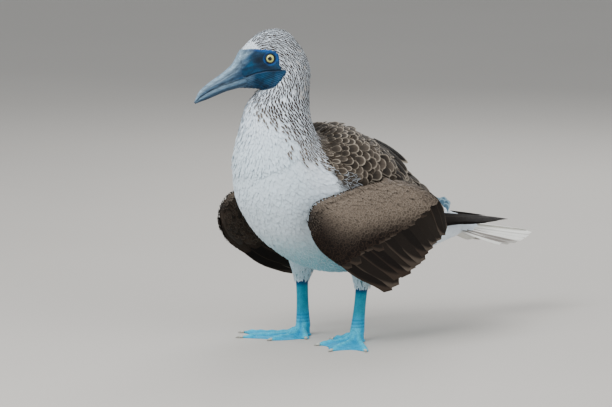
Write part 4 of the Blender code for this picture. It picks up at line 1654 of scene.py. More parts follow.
        # painted shade in the groove along the bill's side
        tint = blend(0.45 * fold_all * (strength[:, None] / 0.075), tint, PALETTE.bill_dark)
        tip = smoothstep(0.90, 1.0, share)[:, None] * np.ones_like(x)
        tint = blend(0.6 * tip, tint, PALETTE.bill_dark)
        ends = np.array([tint[0].mean(0), tint[-1].mean(0)])
        bench.store(obj, "tint", np.concatenate([tint.reshape(-1, 3), ends]))
        grain = self.grain_way(x, BODY.axis_y - y, z).reshape(-1, 3)
        bench.store(obj, "grain_way", np.concatenate([grain, grain[:1], grain[-1:]]))
        return obj


@dataclass
class Wing:
    """One wing, let down beside the trunk: flesh, coverts, secondaries and folded primaries."""

    side: Side
    edge: tuple = (
        (-0.1214, 0.1949), (-0.1060, 0.2165), (-0.0710, 0.2245), (-0.0190, 0.2325), (0.0350, 0.2365),
        (0.0790, 0.2320),
    )
    tips: tuple = (
        (0.0243, 0.0749), (0.0500, 0.0935), (0.0780, 0.1080), (0.1010, 0.1220), (0.1255, 0.1385),
        (0.1470, 0.1480),
    )
    front: tuple = (
        (-0.1214, 0.1949), (-0.1165, 0.1709), (-0.1027, 0.1504), (-0.0831, 0.1353), (-0.0618, 0.1223),
        (-0.0413, 0.1085), (-0.0178, 0.1003), (0.0050, 0.0904), (0.0243, 0.0749),
    )
    front_reach: float = 0.40
    right_shift: tuple = (0.0080, -0.0030, -0.0050)
    right_sweep: tuple = (0.0, 0.0160, 0.0125)
    elbow_bow: float = 0.0085
    top_x: tuple = ((0.0925,), (0.0885,), (0.0850,), (0.0815,), (0.0745,))
    mid_x: float = 0.1035
    tip_x: float = 0.1045
    rear_x: float = 0.0900
    arm_thickness: float = 0.0210
    vane_thickness: float = 0.0020
    secondaries: int = 12
    greater_coverts: int = 15
    primaries: int = 6
    primary_line: tuple = (
        (0.0880, -0.070, 0.1700), (0.0890, 0.000, 0.1720), (0.0870, 0.060, 0.1720), (0.0775, 0.120, 0.1710),
        (0.0630, 0.180, 0.1664), (0.0455, 0.242, 0.1568), (0.0325, 0.292, 0.1505), (0.0240, 0.326, 0.1455),
    )
    primary_halves: tuple = (0.0120, 0.0165, 0.0155, 0.0120, 0.0074, 0.0078, 0.0054, 0.0015)
    primary_lean: tuple = ((0.0,), (4.0,), (8.0,), (16.0,), (30.0,), (46.0,), (56.0,), (60.0,))

    def middle(self, s: Array, t: Array) -> Array:
        """Points of the middle surface, s from wrist to elbow and t from the leading edge to the tips.

        Args:
            s: shares of the way from wrist to elbow.
            t: shares of the way from the leading edge to the tips.

        Returns:
            Rows of three coordinates, with X counted outward.
        """
        edge, tip = spline(self.edge, s), spline(self.tips, s)
        along = unit(tip - edge)
        outward = np.stack([along[..., 1], -along[..., 0]], -1)
        bow = self.elbow_bow * np.maximum(0.0, (s - 0.6) / 0.4) ** 2
        place = edge + (tip - edge) * t[..., None]
        place = place - outward * (bow * np.sin(np.pi * np.minimum(1.0, t)))[..., None]
        first, last = np.asarray(self.edge[0]), np.asarray(self.tips[0])
        rounding = spline(self.front, t) - (first + (last - first) * np.minimum(1.0, t)[..., None])
        place = place + rounding * (np.maximum(0.0, 1 - s / self.front_reach) ** 2)[..., None]
        top = spline(self.top_x, s)[..., 0]
        far = self.tip_x + (self.rear_x - self.tip_x) * smoothstep(0.4, 1.0, s)
        x = top + (self.mid_x - top) * np.sin(np.pi / 2 * np.minimum(1.0, t / 0.45))
        x = x + (far - self.mid_x) * smoothstep(0.45, 1.0, t)
        made = np.stack([x, place[..., 0], place[..., 1]], -1)
        if self.side is Side.RIGHT:
            made = made + np.array(self.right_shift) * (1 - 0.8 * s)[..., None]
            made = made + np.array(self.right_sweep) * ((1 - s) * t**8)[..., None]
        return made

    def half_thickness(self, s: Array, t: Array) -> Array:
        """Half of the wing's thickness.

        Args:
            s: shares of the way from wrist to elbow.
            t: shares of the way from the leading edge to the tips.

        Returns:
            Half of the thickness.
        """
        nose = np.sqrt(np.maximum(0.0, 1 - (1 - np.minimum(1.0, t / 0.20)) ** 2))
        wrist = np.sqrt(np.maximum(0.0, 1 - (1 - np.minimum(1.0, s / 0.14)) ** 2))
        elbow = np.sqrt(np.maximum(0.0, 1 - (1 - np.minimum(1.0, (1 - s) / 0.14)) ** 2))
        return (self.vane_thickness
                + self.arm_thickness * np.maximum(0.0, 1 - t) ** 1.4 * nose * wrist * elbow) / 2

    def face_point(self, s: Array, q: Array, grow: float = 0.0) -> Array:
        """Points of the wing's own surface: q above 0 on the outer side and below 0 on the inner side.

        Args:
            s: shares of the way from wrist to elbow.
            q: as shares of the depth, above 0 on the outer side and below 0 on the inner side.
            grow: how much half of the thickness is raised.

        Returns:
            Rows of three coordinates.
        """
        t = np.abs(q)
        place = self.middle(s, t)
        offset = self.half_thickness(s, t) + grow
        place[..., 0] += offset * np.clip(q / 0.02, -1, 1)
        place[..., 0] *= self.side.sign
        return place

    def frame(self, s: Array, q: Array) -> tuple[Array, Array, Array]:
        """Points of the surface with their outward direction and the lie of the coat.

        Args:
            s: shares of the way from wrist to elbow.
            q: as shares of the depth, above 0 on the outer side and below 0 on the inner side.

        Returns:
            The points, their outward directions and the lie of the coat.
        """
        step = 0.004
        across = self.face_point(np.clip(s + step, 0, 1), q) - self.face_point(np.clip(s - step, 0, 1), q)
        onward = self.face_point(s, q + step) - self.face_point(s, q - step)
        up = unit(np.cross(across, onward)) * self.side.sign
        outer = up[..., 0] * self.side.sign
        up = np.where(((outer < 0) & (q > 0.05))[..., None] | ((outer > 0) & (q < -0.05))[..., None], -up, up)
        down = onward * np.where(q >= 0, 1.0, -1.0)[..., None]
        down = unit(down + 0.15 * across * np.linalg.norm(down, axis=-1, keepdims=True)
                    / np.maximum(1e-9, np.linalg.norm(across, axis=-1, keepdims=True)))
        flow = unit(down - np.sum(down * up, -1, keepdims=True) * up)
        return self.face_point(s, q), up, flow

    def covert_reach(self, s: Array) -> Array:
        """Share of the wing's depth that the small coverts reach to."""
        return spline(((0.42,), (0.50,), (0.52,), (0.50,), (0.44,), (0.34,)), s)[..., 0]

    def colours(self, s: Array, q: Array) -> tuple[Array, Array]:
        """Base and edge colours of the coverts.

        Args:
            s: shares of the way from wrist to elbow.
            q: as shares of the depth, above 0 on the outer side and below 0 on the inner side.

        Returns:
            The base colours and the edge colours.
        """
        t = np.abs(q)
        pale = smoothstep(0.05, 0.30, s) * (1 - 0.5 * smoothstep(0.8, 1.0, s))
        pale = pale * (1 - smoothstep(0.12, 0.42, t - 0.25 * s))
        base = blend(pale, PALETTE.wing_dark, PALETTE.covert_brown)
        edge = blend(pale, PALETTE.wing_edge, PALETTE.covert_edge)
        rim = smoothstep(0.12, 0.02, t) * (1 - smoothstep(0.2, 0.5, s))
        edge = blend(0.25 * rim, edge, PALETTE.buff)
        inner = smoothstep(-0.02, -0.08, q)
        return blend(inner, base, PALETTE.under_wing), blend(inner * 0.9, edge, PALETTE.mantle_grey)

    def flesh(self, depth: float) -> tuple[Array, Array]:
        """Rings of the fleshy part under the coverts and their colours.

        Args:
            depth: how much half of the thickness is lowered.

        Returns:
            The rings and the colours of their points.
        """
        s = np.linspace(0.012, 0.985, 60)
        q = np.concatenate([np.linspace(0.03, 0.42, 24), np.linspace(-0.42, -0.03, 24)])
        i, j = np.meshgrid(s, q, indexing="ij")
        t = np.abs(j)
        place = self.middle(i, t)
        half = np.maximum(0.0008, self.half_thickness(i, t) - depth)
        place[..., 0] = (place[..., 0] + half * np.sign(j)) * self.side.sign
        return place, self.colours(i, j)[0]

    def shoulder(self, radius: float) -> Array:
        """Rings of the upper arm that joins the elbow to the trunk.

        Args:
            radius: the arm's radius.

        Returns:
            An array of rings, points and coordinates.
        """
        start, end = self.middle(np.array(0.80), np.array(0.13)), np.array([0.0480, 0.0300, 0.2450])
        start[0], end[0] = start[0] * self.side.sign, end[0] * self.side.sign
        way = unit(end - start)
        first = unit(np.cross(way, np.array([0.0, 0.0, 1.0])))
        second = np.cross(way, first)
        turn = full_circle(20)
        disc = radius * (np.cos(turn)[:, None] * first + np.sin(turn)[:, None] * second)
        share = np.linspace(0, 1, 12)[:, None, None]
        return (start + (end - start) * share) + disc[None]

    def covert_tract(self) -> Tract:
        """The small coverts, on the outer side, round the leading edge and on the inner side.

        Returns:
            The tract.
        """
        rows, columns = 120, 150
        s, share = np.meshgrid(np.linspace(0.0, 1.0, rows), np.linspace(-1.0, 1.0, columns), indexing="ij")
        q = share * self.covert_reach(s)
        place, up, flow = self.frame(s, q)
        base, edge = self.colours(s, q)
        size = 0.0060 + 0.0020 * smoothstep(0.02, 0.10, np.abs(q)) + 0.0045 * smoothstep(0.1, 0.5, np.abs(q))
        size = size * np.where(q < -0.01, 0.5 + 0.5 * smoothstep(0.0, 0.08, s), 1.0)
        keep = np.where(q > -0.02, 1.0, np.where(s < 0.035, 0.0, np.where(q > -0.12, 0.8, 0.45)))
        return Tract(place, up, flow, base, edge, size, keep, on_map((share + 1) / 2, s))

    def spine(self, s: float, start: float, end: float, offset: float) -> tuple[Array, Array]:
        """Shaft of a feather that lies in the wing's surface.

        Args:
            s: where along the wing it grows.
            start: share of the wing's depth at its root.
            end: share at its tip.
            offset: how far it lies outside the middle surface.

        Returns:
            Places along the shaft and directions of its upper face.
        """
        t = np.linspace(start, end, 9)
        here = np.full(9, s)
        place = self.middle(here, t)
        along = unit(np.gradient(place, axis=0))
        across = unit(self.middle(here + 0.01, t) - self.middle(here - 0.01, t))
        up = unit(np.cross(across, along))
        up = up * np.sign(up[:, :1])
        place = place + up * (offset * (1 - 0.5 * np.linspace(0, 1, 9)))[:, None]
        place[:, 0] *= self.side.sign
        up[:, 0] *= self.side.sign
        return place, up

    def build_secondaries(self, bench: Bench) -> Object:
        """The long feathers of the arm, with their greater coverts outside and inside.

        Args:
            bench: makes the meshes.

        Returns:
            The piece.
        """
        random = np.random.default_rng(SEEDS["secondaries"])
        stack = FeatherStack()
        for k in range(self.secondaries):
            share = 0.06 + 0.885 * k / (self.secondaries - 1)
            jitter = random.random()
            end = 1.0 - 0.035 * random.random()
            spine, up = self.spine(share, 0.16, end, 0.0002 + 0.0008 * share)
            base = blend(0.30 * jitter, PALETTE.wing_dark, PALETTE.mantle_brown)
            edge = blend(0.50 * jitter, PALETTE.wing_edge, PALETTE.covert_edge)
            half = min(0.0165, 0.0030 + 0.17 * share, 0.0020 + 0.16 * (1 - share))
            stack.lay(spine, up, half, (base, edge, jitter), 0.60, 0.88, 0.06, self.side.sign * 0.0011, 0.42)
        for k in range(self.greater_coverts):
            share = 0.04 + 0.92 * k / (self.greater_coverts - 1)
            jitter = random.random()
            reach = float(self.covert_reach(np.array(share))) + 0.07 + 0.09 * random.random()
            base = blend(0.05 + 0.20 * jitter, PALETTE.wing_dark, PALETTE.covert_brown)
            edge = blend(0.05 + 0.25 * jitter, PALETTE.wing_edge, PALETTE.covert_edge)
            half = min(0.0110, 0.0020 + 0.17 * share, 0.0020 + 0.15 * (1 - share))
            for offset, colours in (
                (0.0022, (base, edge)), (-0.0022, (PALETTE.under_wing, PALETTE.wing_edge)),
            ):
                spine, up = self.spine(share, 0.14, reach - (0.04 if offset < 0 else 0.0), offset)
                facing = 1.0 if offset > 0 else -1.0
                stack.lay(spine, up * facing, half, (*colours, jitter), 0.6, 0.78, 0.10,
                          self.side.sign * 0.0008 * facing, 0.45)
        return stack.build(bench, f"secondaries_{self.side.label}")

    def build_primaries(self, bench: Bench) -> Object:
        """The folded feathers of the hand, which run back under the others to a point over the tail.

        Args:
            bench: makes the meshes.

        Returns:
            The piece.
        """
        stack = FeatherStack()
        random = np.random.default_rng(SEEDS["primaries"])
        for k in range(self.primaries):
            share = np.linspace(0.0, 1.0 - 0.085 * k, 11)
            place = spline(self.primary_line, share)
            lean = np.radians(spline(self.primary_lean, share)[:, 0])
            face = np.stack([np.cos(lean), np.zeros_like(lean), np.sin(lean)], -1)
            place = place - face * (0.0011 * k - 0.0016)
            depth = np.stack([-np.sin(lean), np.zeros_like(lean), np.cos(lean)], -1)
            place = place - depth * (0.0010 * k)
            place[:, 0] *= self.side.sign
            face[:, 0] *= self.side.sign
            look = (PALETTE.wing_dark, PALETTE.wing_dark, random.random())
            halves = spline(tuple((h,) for h in self.primary_halves), share)[:, 0]
            stack.lay(place, face, 0.90, look, 0.75, 0.80, 0.05, 0.0, 0.40, tuple(halves))
        return stack.build(bench, f"primaries_{self.side.label}")


@dataclass
class Tail:
    """The closed, graduated tail and the coverts over its root."""

    pivot: tuple = (0.185, 0.1572)
    drop: float = math.radians(10.2)
    length: float = 0.2175
    outer_length: float = 0.1200
    start: float = 0.0450
    feathers: int = 12
    spread: float = math.radians(14.5)
    arch: float = 0.0360
    arch_at: float = 0.045
    arch_power: float = 1.3

    def build(self, bench: Bench) -> Object:
        """The tail feathers, the middle pair on top.

        Args:
            bench: makes the meshes.

        Returns:
            The piece.
        """
        stack = FeatherStack(0.0007)
        random = np.random.default_rng(SEEDS["tail"])
        pitch = 2 * self.spread / self.feathers
        for k in range(self.feathers):
            heading = (k + 0.5) * pitch - self.spread
            outer = abs(heading) / self.spread
            length = self.length + (self.outer_length - self.length) * outer**1.2
            reach = np.linspace(self.start, length, 9)
            x = reach * math.sin(heading)
            off = np.abs(x) / self.arch_at
            lowered = self.arch * off**self.arch_power
            y = self.pivot[0] + reach * math.cos(heading) * math.cos(self.drop)
            z = self.pivot[1] - reach * math.cos(heading) * math.sin(self.drop) - lowered
            z = z + 0.0012 * (0.5 - outer)
            slope = (self.arch * self.arch_power * off ** (self.arch_power - 1) / self.arch_at
                     * math.copysign(1.0, heading))
            up = unit(np.stack([slope, np.full(9, math.sin(self.drop)), np.ones(9)], -1))
            jitter = random.random()
            brown = float(smoothstep(0.36, 0.60, np.array(outer)) * smoothstep(0.90, 0.84, np.array(outer)))
            base = blend(0.02 + 0.80 * brown, PALETTE.cream, PALETTE.tail_brown)
            edge = blend(0.16 + 0.40 * brown, PALETTE.cream, PALETTE.tail_brown)
            stack.lay(np.stack([x, y, z], -1), up, 0.0095, (base, edge, jitter), 0.6, 0.80, 0.06,
                      0.0005 * math.copysign(1.0, heading), 0.5)
        return stack.build(bench, "tail_feathers")


@dataclass
class Leg:
    """One leg: feathered thigh, bare shank, webbed foot and claws."""

    side: Side
    ankle: tuple[float, float]
    shank_top: tuple[float, float, float]
    toes: tuple
    thigh_top: float = 0.135
    thigh_widths: tuple = (
        (0.0240, 0.0300), (0.0230, 0.0280), (0.0195, 0.0230), (0.0155, 0.0175), (0.0120, 0.0135),
    )
    shank_widths: tuple = (
        (0.0074, 0.0104), (0.0068, 0.0099), (0.0066, 0.0096), (0.0068, 0.0100), (0.0076, 0.0109),
        (0.0088, 0.0118),
    )
    claw_lengths: tuple = (0.0085, 0.0100, 0.0080, 0.0065)
    claw_names: tuple = ("outer", "middle", "inner", "hind")
    instep: float = 0.0185
    disc: float = 0.0098
    toe_half: float = 0.0050
    toe_height: float = 0.0170
    tip_height: float = 0.0062
    web: float = 0.0020
    web_sag: float = 0.17
    heel: float = 0.0120
    voxel: float = 0.00095
    sole_snap: float = 0.0007
    joint_pitch: float = 0.0155
    scute_pitch: float = 0.0026
    ankle_creases: tuple = (0.0215, 0.0262, 0.0310)

    def thigh_rings(self, grow: float, rows: int = 26, around: int = 48) -> Array:
        """Rings down the thigh.

        Args:
            grow: how far the outline is widened.
            rows: number of rings.
            around: number of points on a ring.

        Returns:
            An array of rings, points and coordinates.
        """
        hip = np.array([self.shank_top[0] * 0.98, self.shank_top[1] + 0.006, self.thigh_top])
        knee = np.array(self.shank_top)
        share = np.linspace(0, 1, rows)
        widths = spline(self.thigh_widths, share) + grow
        return upright_rings(hip + (knee - hip) * share[:, None], widths, around)

    def thigh_tract(self) -> Tract:
        """The feathers of the thigh, which end in a cuff round the top of the shank.

        Returns:
            The tract.
        """
        rings = self.thigh_rings(-0.0012, 40, 60)
        middle = rings.mean(1, keepdims=True)
        flow = unit(np.gradient(rings, axis=0))
        up = unit(rings - middle)
        up = unit(up - np.sum(up * flow, -1, keepdims=True) * flow)
        down = np.linspace(0, 1, 40)[:, None] * np.ones((1, 60))
        # painted shade: the thigh feathers are blended well towards the shaded teal white
        base = blend(0.6 + 0 * down, PALETTE.white, PALETTE.cool_white)
        size = 0.0105 - 0.0050 * down
        turn = np.linspace(0, 1, 60)[None] * np.ones((40, 1))
        edge = np.broadcast_to(PALETTE.white, base.shape)
        return Tract(rings, up, flow, base, edge, size, np.ones_like(down), on_map(turn, down), True)

    @staticmethod
    def way(degrees: float) -> Array:
        """Level direction, in degrees from straight ahead towards the bird's left."""
        return np.array([math.sin(math.radians(degrees)), -math.cos(math.radians(degrees))])

    def reach(self, degrees: float) -> float:
        """How far the foot reaches from the ankle along a heading.

        Args:
            degrees: the heading.

        Returns:
            The distance.
        """
        ordered = sorted(self.toes)
        if ordered[0][0] <= degrees <= ordered[-1][0]:
            for (a, low), (b, high) in zip(ordered, ordered[1:]):
                if a <= degrees <= b:
                    share = (degrees - a) / (b - a)
                    smooth = share * share * (3 - 2 * share)
                    return (low + (high - low) * smooth) * (1 - self.web_sag * math.sin(math.pi * share))
        off, length = min((min(abs(degrees - d), 360 - abs(degrees - d)), size) for d, size in self.toes)
        side = self.toe_half / max(0.05, math.sin(math.radians(min(off, 90.0))))
        return max(self.heel, min(length, side))

    def toe_fields(self, flat: Array) -> tuple[Array, Array, Array]:
        """Where points of the floor lie on the toes.

        Args:
            flat: rows of two coordinates from the ankle.

        Returns:
            Height of the foot there, closeness to a toe's ridge from 0 to 1, and the distance along that toe.
        """
        height = np.full(flat.shape[:-1], self.web)
        ridge_share = np.zeros(flat.shape[:-1])
        run = np.zeros(flat.shape[:-1])
        for degrees, length in self.toes:
            way = self.way(degrees)
            along = np.clip(flat @ way, 0.0, length)
            off = np.linalg.norm(flat - along[..., None] * way, axis=-1) / self.toe_half
            joint = 1 + 0.10 * np.cos(along * 2 * np.pi / self.joint_pitch)
            ridge = (self.tip_height
                     + (self.toe_height - self.tip_height) * np.maximum(0, 1 - along / 0.035) ** 1.5)
            near = np.exp(-off * off)
            height = np.maximum(height, self.web + (ridge * joint - self.web) * near)
            run = np.where(near > ridge_share, along, run)
            ridge_share = np.maximum(ridge_share, near)
        return height, ridge_share, run

    def build(self, bench: Bench) -> Object:
        """Shank and webbed foot as one skin, with a flat sole.

        Args:
            bench: makes the mesh.

        Returns:
            The leg.
        """
        headings = np.arange(-180.0, 180.0, 1.5)
        reach = np.array([self.reach(d) for d in headings])
        ways = np.array([self.way(d) for d in headings])
        ankle = np.array([*self.ankle, 0.0])
        shares = np.linspace(0.0, 1.0, 36)
        out = self.disc + (reach[None] - self.disc) * shares[:, None]
        flat = ways[None] * out[..., None]
        height, _, _ = self.toe_fields(flat)
        radius = np.linalg.norm(flat, axis=-1)
        fold = np.sin(np.radians(headings)[None] * 22 + radius * 90) * smoothstep(0.02, 0.05, radius)
        height = height + 0.00035 * fold
        height = height * (1 - 0.45 * smoothstep(0.8, 1.0, shares)[:, None])
        height[0] = self.instep
        top = np.concatenate([flat, height[..., None]], -1)
        sole = np.concatenate([flat[-1:], np.zeros((1, len(headings), 1))], -1)
        inner = np.concatenate([flat[-1:] * 0.02, np.zeros((1, len(headings), 1))], -1)
        foot = bench.mesh("foot_part", *tube(np.concatenate([top, sole, inner]) + ankle))
        share = np.linspace(0, 1, 44)
        widths = spline(self.shank_widths, share)
        knee = np.array(self.shank_top) + np.array([0, 0, 0.006])
        centre = knee + (np.array([*self.ankle, self.instep - 0.006]) - knee) * share[:, None]
        shank = bench.mesh("shank_part", *tube(upright_rings(centre, widths, 40)))
        leg = bench.fused([foot, shank], f"leg_{self.side.label}", self.voxel, 2)
        places = bench.places(leg)
        places[:, 2] = np.where(places[:, 2] < self.sole_snap, 0.0, places[:, 2])
        bench.move(leg, places)
        _, ridge, run = self.toe_fields(places[:, :2] - np.array(self.ankle))
        on_foot = 1 - smoothstep(0.016, 0.030, places[:, 2])
        # painted highlight: the tops of the toes are paler
        tint = blend(0.75 * smoothstep(0.35, 0.9, ridge) * on_foot, PALETTE.leg_blue, PALETTE.leg_pale)
        scute = 0.5 + 0.5 * np.cos(run * 2 * np.pi / self.scute_pitch)
        crease = 0.35 * smoothstep(0.85, 1.0, scute) * smoothstep(0.4, 0.9, ridge) * on_foot
        tint = blend(crease, tint, PALETTE.leg_deep)
        tint = blend(0.8 * smoothstep(0.024, 0.045, places[:, 2]), tint, PALETTE.leg_teal)
        # painted shadow on the top of the shank, under the feathered cuff
        ring = smoothstep(self.shank_top[2] - 0.013, self.shank_top[2] - 0.006, places[:, 2])
        tint = blend(0.9 * ring, tint, PALETTE.leg_deep)
        for height in self.ankle_creases:
            tint = blend(0.45 * np.exp(-(((places[:, 2] - height) / 0.0010) ** 2)), tint, PALETTE.leg_deep)
        bench.store(leg, "tint", tint)
        return leg

    def build_claw(self, bench: Bench, number: int) -> Object:
        """One claw, curved down to the floor.

        Args:
            bench: makes the mesh.
            number: the toe's number.

        Returns:
            The piece.
        """
        degrees, length = self.toes[number]
        claw = self.claw_lengths[number]
        way = np.array([*self.way(degrees), 0.0])
        across = np.array([-way[1], way[0], 0.0])
        start = np.array([*self.ankle, 0.0]) + way * (length + 0.0003)
        share = np.linspace(-0.12, 1.0, 14)
        profile = spline(((0.0026, 0.0006, 0.0041), (0.0024, 0.0006, 0.0039), (0.0020, 0.0006, 0.0033),
                          (0.0013, 0.0006, 0.0023), (0.0004, 0.0006, 0.0011)), np.maximum(share, 0.0))
        turn = full_circle(16)
        middle, half = (profile[:, 1] + profile[:, 2]) / 2, (profile[:, 2] - profile[:, 1]) / 2
        rings = ((start + way * (claw * share)[:, None])[:, None]
                 + across * (profile[:, :1] * np.cos(turn))[..., None])
        rings[..., 2] += middle[:, None] + half[:, None] * np.sin(turn)
        obj = bench.mesh(f"nail_{self.side.label}_{self.claw_names[number]}", *tube(rings))
        bench.outward(obj)
        shade = blend(
            np.tile(smoothstep(0.3, 1.0, share), (16, 1)).T, PALETTE.claw, tone(120, 120, 112)).reshape(-1, 3)
        bench.store(obj, "tint", np.concatenate([shade, shade[:1], shade[-1:]]))
        return obj


@dataclass
class Plumage:
    """The coat of small feathers over head, neck, trunk, wings and thighs."""

    finishes: Finishes
    seed: int = 4
    scatter: CoatTree = field(default_factory=lambda: CoatTree("scattered_coat", True))
    rowed: CoatTree = field(default_factory=lambda: CoatTree("rowed_coat", False))

    def __post_init__(self) -> None:
        """Builds the feather shapes."""
        self.soft = VaneShape("soft_vane", camber=0.11, rise=0.26, droop=0.10).build()
        self.slim = VaneShape("slim_vane", half_width=0.16, camber=0.12, rise=0.26, droop=0.10,
                              rings=((0.15, 0.6), (0.5, 1.0), (0.84, 0.62))).build()
        self.streak = VaneShape("streak_vane", half_width=0.23, camber=0.12, rise=0.27, droop=0.09,
                                rings=((0.12, 0.5), (0.4, 1.0), (0.7, 0.9), (0.9, 0.55))).build()
        self.scale = VaneShape("scale_vane", half_width=0.25, camber=0.12, rise=0.26, droop=0.09,
                               rings=((0.15, 0.6), (0.5, 1.0), (0.8, 0.92), (0.94, 0.55))).build()
        self.broad = VaneShape(
            "broad_vane", half_width=0.34, across=5, camber=0.10, sink=0.04, rise=0.26, droop=0.10,
            rings=((0.12, 0.55), (0.38, 0.92), (0.62, 1.0), (0.82, 0.88), (0.95, 0.52)),
        ).build()

    def grow(self, bench: Bench, name: str, tract: Tract, vane: Object, finish: bpy.types.Material,
             slot: str, spacing: float = 0.0, turn: float = 0.22, lift: float = 0.10, spread: float = 0.18,
             patch: float = 0.003) -> Object:
        """Grows one piece of the coat and seats it.

        Args:
            bench: makes and seats the mesh.
            name: the piece's name.
            tract: where its feathers grow.
            vane: the feather that is planted.
            finish: its material.
            slot: the record's slot.
            spacing: distance between roots, or 0 for a tract of single roots.
            turn: how far feathers turn off the lie of the coat, in radians.
            lift: how far they stand up or down, in radians.
            spread: how much their sizes differ.
            patch: size of each feather's patch on the map.

        Returns:
            The piece.
        """
        self.seed += 17
        surface = tract.build(bench, name)
        coat = (self.scatter if spacing else self.rowed).grow(surface, {
            "Vane": vane, "Spacing": spacing, "Seed": self.seed, "Turn": turn, "Lift": lift,
            "Size Spread": spread, "Patch": patch, "Finish": finish,
        })
        return bench.seat(coat, slot, None)

    def body_tract(
        self, low: float, high: float, angles: tuple[float, float], size: tuple, grow: float,
        keep: Callable[[Array, Array], Array] | None = None,
        base: Colour | Callable | None = None, edge: Colour | None = None, swirl: float = 0.0,
    ) -> Tract:
        """A tract of the body's own surface.

        Args:
            low: first station.
            high: last station.
            angles: first and last way round the ring.
            size: feather lengths from the first station to the last.
            grow: height of the roots over the outline.
            keep: share of the feathers kept at a station and an angle.
            base: colour of the feathers, alone or by place, or None for the body's markings.
            edge: colour of their fringes, or None for the markings made paler.
            swirl: how far they turn towards the back on the sides, in radians.

        Returns:
            The tract.
        """
        rows, columns = int(40 + 10 * (high - low)), 140
        full = abs(angles[1] - angles[0] - 2 * math.pi) < 1e-6
        index, angle = np.meshgrid(
            np.linspace(low, high, rows), np.linspace(*angles, columns, endpoint=not full), indexing="ij")
        place, up, flow = BODY.frame(index, angle, grow)
        if swirl:
            around = unit(BODY.point(index, angle + 0.01, grow) - BODY.point(index, angle - 0.01, grow))
            flow = unit(flow - swirl * np.sin(angle)[..., None] * around)
        share = (index - low) / (high - low)
        marks = MARKINGS.body(index, angle)
        chosen = base(index, angle) if callable(base) else base
        colour = marks if base is None else np.broadcast_to(chosen, marks.shape)
        paler = blend(0.5 + 0 * index, colour, PALETTE.white)
        fringe = paler if edge is None else np.broadcast_to(edge, marks.shape)
        kept = np.ones_like(index) if keep is None else keep(index, angle)
        around = (angle - angles[0]) / (angles[1] - angles[0])
        unwrap = on_map(around, share)
        lengths = spline(tuple((s,) for s in size), share)[..., 0]
        return Tract(place, up, flow, colour, fringe, lengths, kept, unwrap, full)

    @staticmethod
    def off_face(index: Array, angle: Array) -> Array:
        """Keeps feathers off the bare face."""
        return smoothstep(0.0003, -0.0010, MARKINGS.face(index, angle))

    @staticmethod
    def streak_share(index: Array, angle: Array) -> Array:
        """Keeps streaks off the face, the forehead and the white breast.

        Args:
            index: station, whole or between two stations.
            angle: way round the ring, 0 at the back and positive on the bird's left.

        Returns:
            The share of streaks kept.
        """
        side_view = BODY.profile(index, angle)
        fore = np.maximum(smoothstep(0.047, 0.034, side_view[..., 0]), smoothstep(14.9, 13.9, index))
        fore = fore * smoothstep(0.0000, -0.0012, MARKINGS.face(index, angle))
        fade = 8.4 + 3.6 * ((1 - np.cos(angle)) / 2) ** 2
        return fore * np.maximum(0.0, 1.04 * smoothstep(fade, fade + 2.2, index) - 0.09)

    @staticmethod
    def streak_colour(index: Array, angle: Array) -> Array:
        """Colour of the streaks, paler down the neck's sides."""
        fade = 9.0 + 3.6 * ((1 - np.cos(angle)) / 2) ** 2
        return blend(smoothstep(fade + 2.0, fade - 0.2, index), PALETTE.streak_brown, PALETTE.streak_pale)

    @staticmethod
    def mottle_share(index: Array, angle: Array) -> Array:
        """Share of brown-centred feathers between the mantle and the white breast.

        Args:
            index: station, whole or between two stations.
            angle: way round the ring, 0 at the back and positive on the bird's left.

        Returns:
            The share of feathers kept.
        """
        off = np.abs(angle)
        past = index - MARKINGS.mantle_front(angle)
        spot = np.exp(-(((index - 10.7) / 0.3) ** 2) - ((off - math.radians(58)) / math.radians(10)) ** 2)
        wide = 1.0 - 0.8 * smoothstep(math.radians(62), math.radians(82), off)
        band = smoothstep(wide, wide - 0.6, past) * smoothstep(7.3, 8.2, index)
        dense = np.clip(band + 1.6 * MARKINGS.mottled(index, angle) - 0.15, 0, 1)
        return smoothstep(-0.25, 0.0, past) * dense * (1 - spot)

    @staticmethod
    def mantle_rows(low: float, grow: float, seed: int, front: bool) -> Tract:
        """Rows of single overlapping feathers across the brown of the back, smaller towards the neck.

        Args:
            low: station of the rear row.
            grow: height of the roots over the outline.
            seed: seed of the small irregularities.
            front: whether to take the small feathers next to the neck, or the ones behind them.

        Returns:
            The tract, as one row of single roots.
        """
        random = np.random.default_rng(seed)
        high = float(MARKINGS.mantle_front(np.array(0.0)))
        keys = ((0.0300, 0.0165, 0.0130), (0.0270, 0.0155, 0.0115), (0.0210, 0.0125, 0.0090),
                (0.0155, 0.0090, 0.0062), (0.0115, 0.0055, 0.0042))
        stations, ways, sizes = [], [], []
        at, row = low, 0
        while at < high:
            length, width, step = spline(keys, np.array((at - low) / (high - low)))
            limit = math.pi * (0.42 + 0.08 * float(smoothstep(4.5, 3.0, np.array(at))))
            arc = np.linspace(-limit, limit, 80)
            ring = BODY.point(np.full(80, at), arc, grow)
            run = np.concatenate([[0.0], np.cumsum(np.linalg.norm(np.diff(ring, axis=0), axis=1))])
            count = max(2, int(run[-1] / width))
            spots = (np.arange(count) + (0.5 if row % 2 else 0.0) + 0.25) / count * run[-1]
            spots = spots + random.normal(0, 0.06, count) * width
            ways.append(np.interp(spots, run, arc))
            stations.append(at + random.normal(0, 0.03, count))
            sizes.append(length * (1 + random.normal(0, 0.05, count)))
            span = BODY.point(np.array([at, at + 0.1]), np.array([0.6, 0.6]))
            at += 0.1 * step / float(np.linalg.norm(span[1] - span[0]))
            row += 1
        index, angle, size = np.concatenate(stations), np.concatenate(ways), np.concatenate(sizes)
        past = index - MARKINGS.mantle_front(angle)
        brown = (past < -0.05) & ((past > -1.3) == front)
        index, angle, size = index[brown], angle[brown], size[brown]
        place, up, flow = BODY.frame(index, angle, grow)
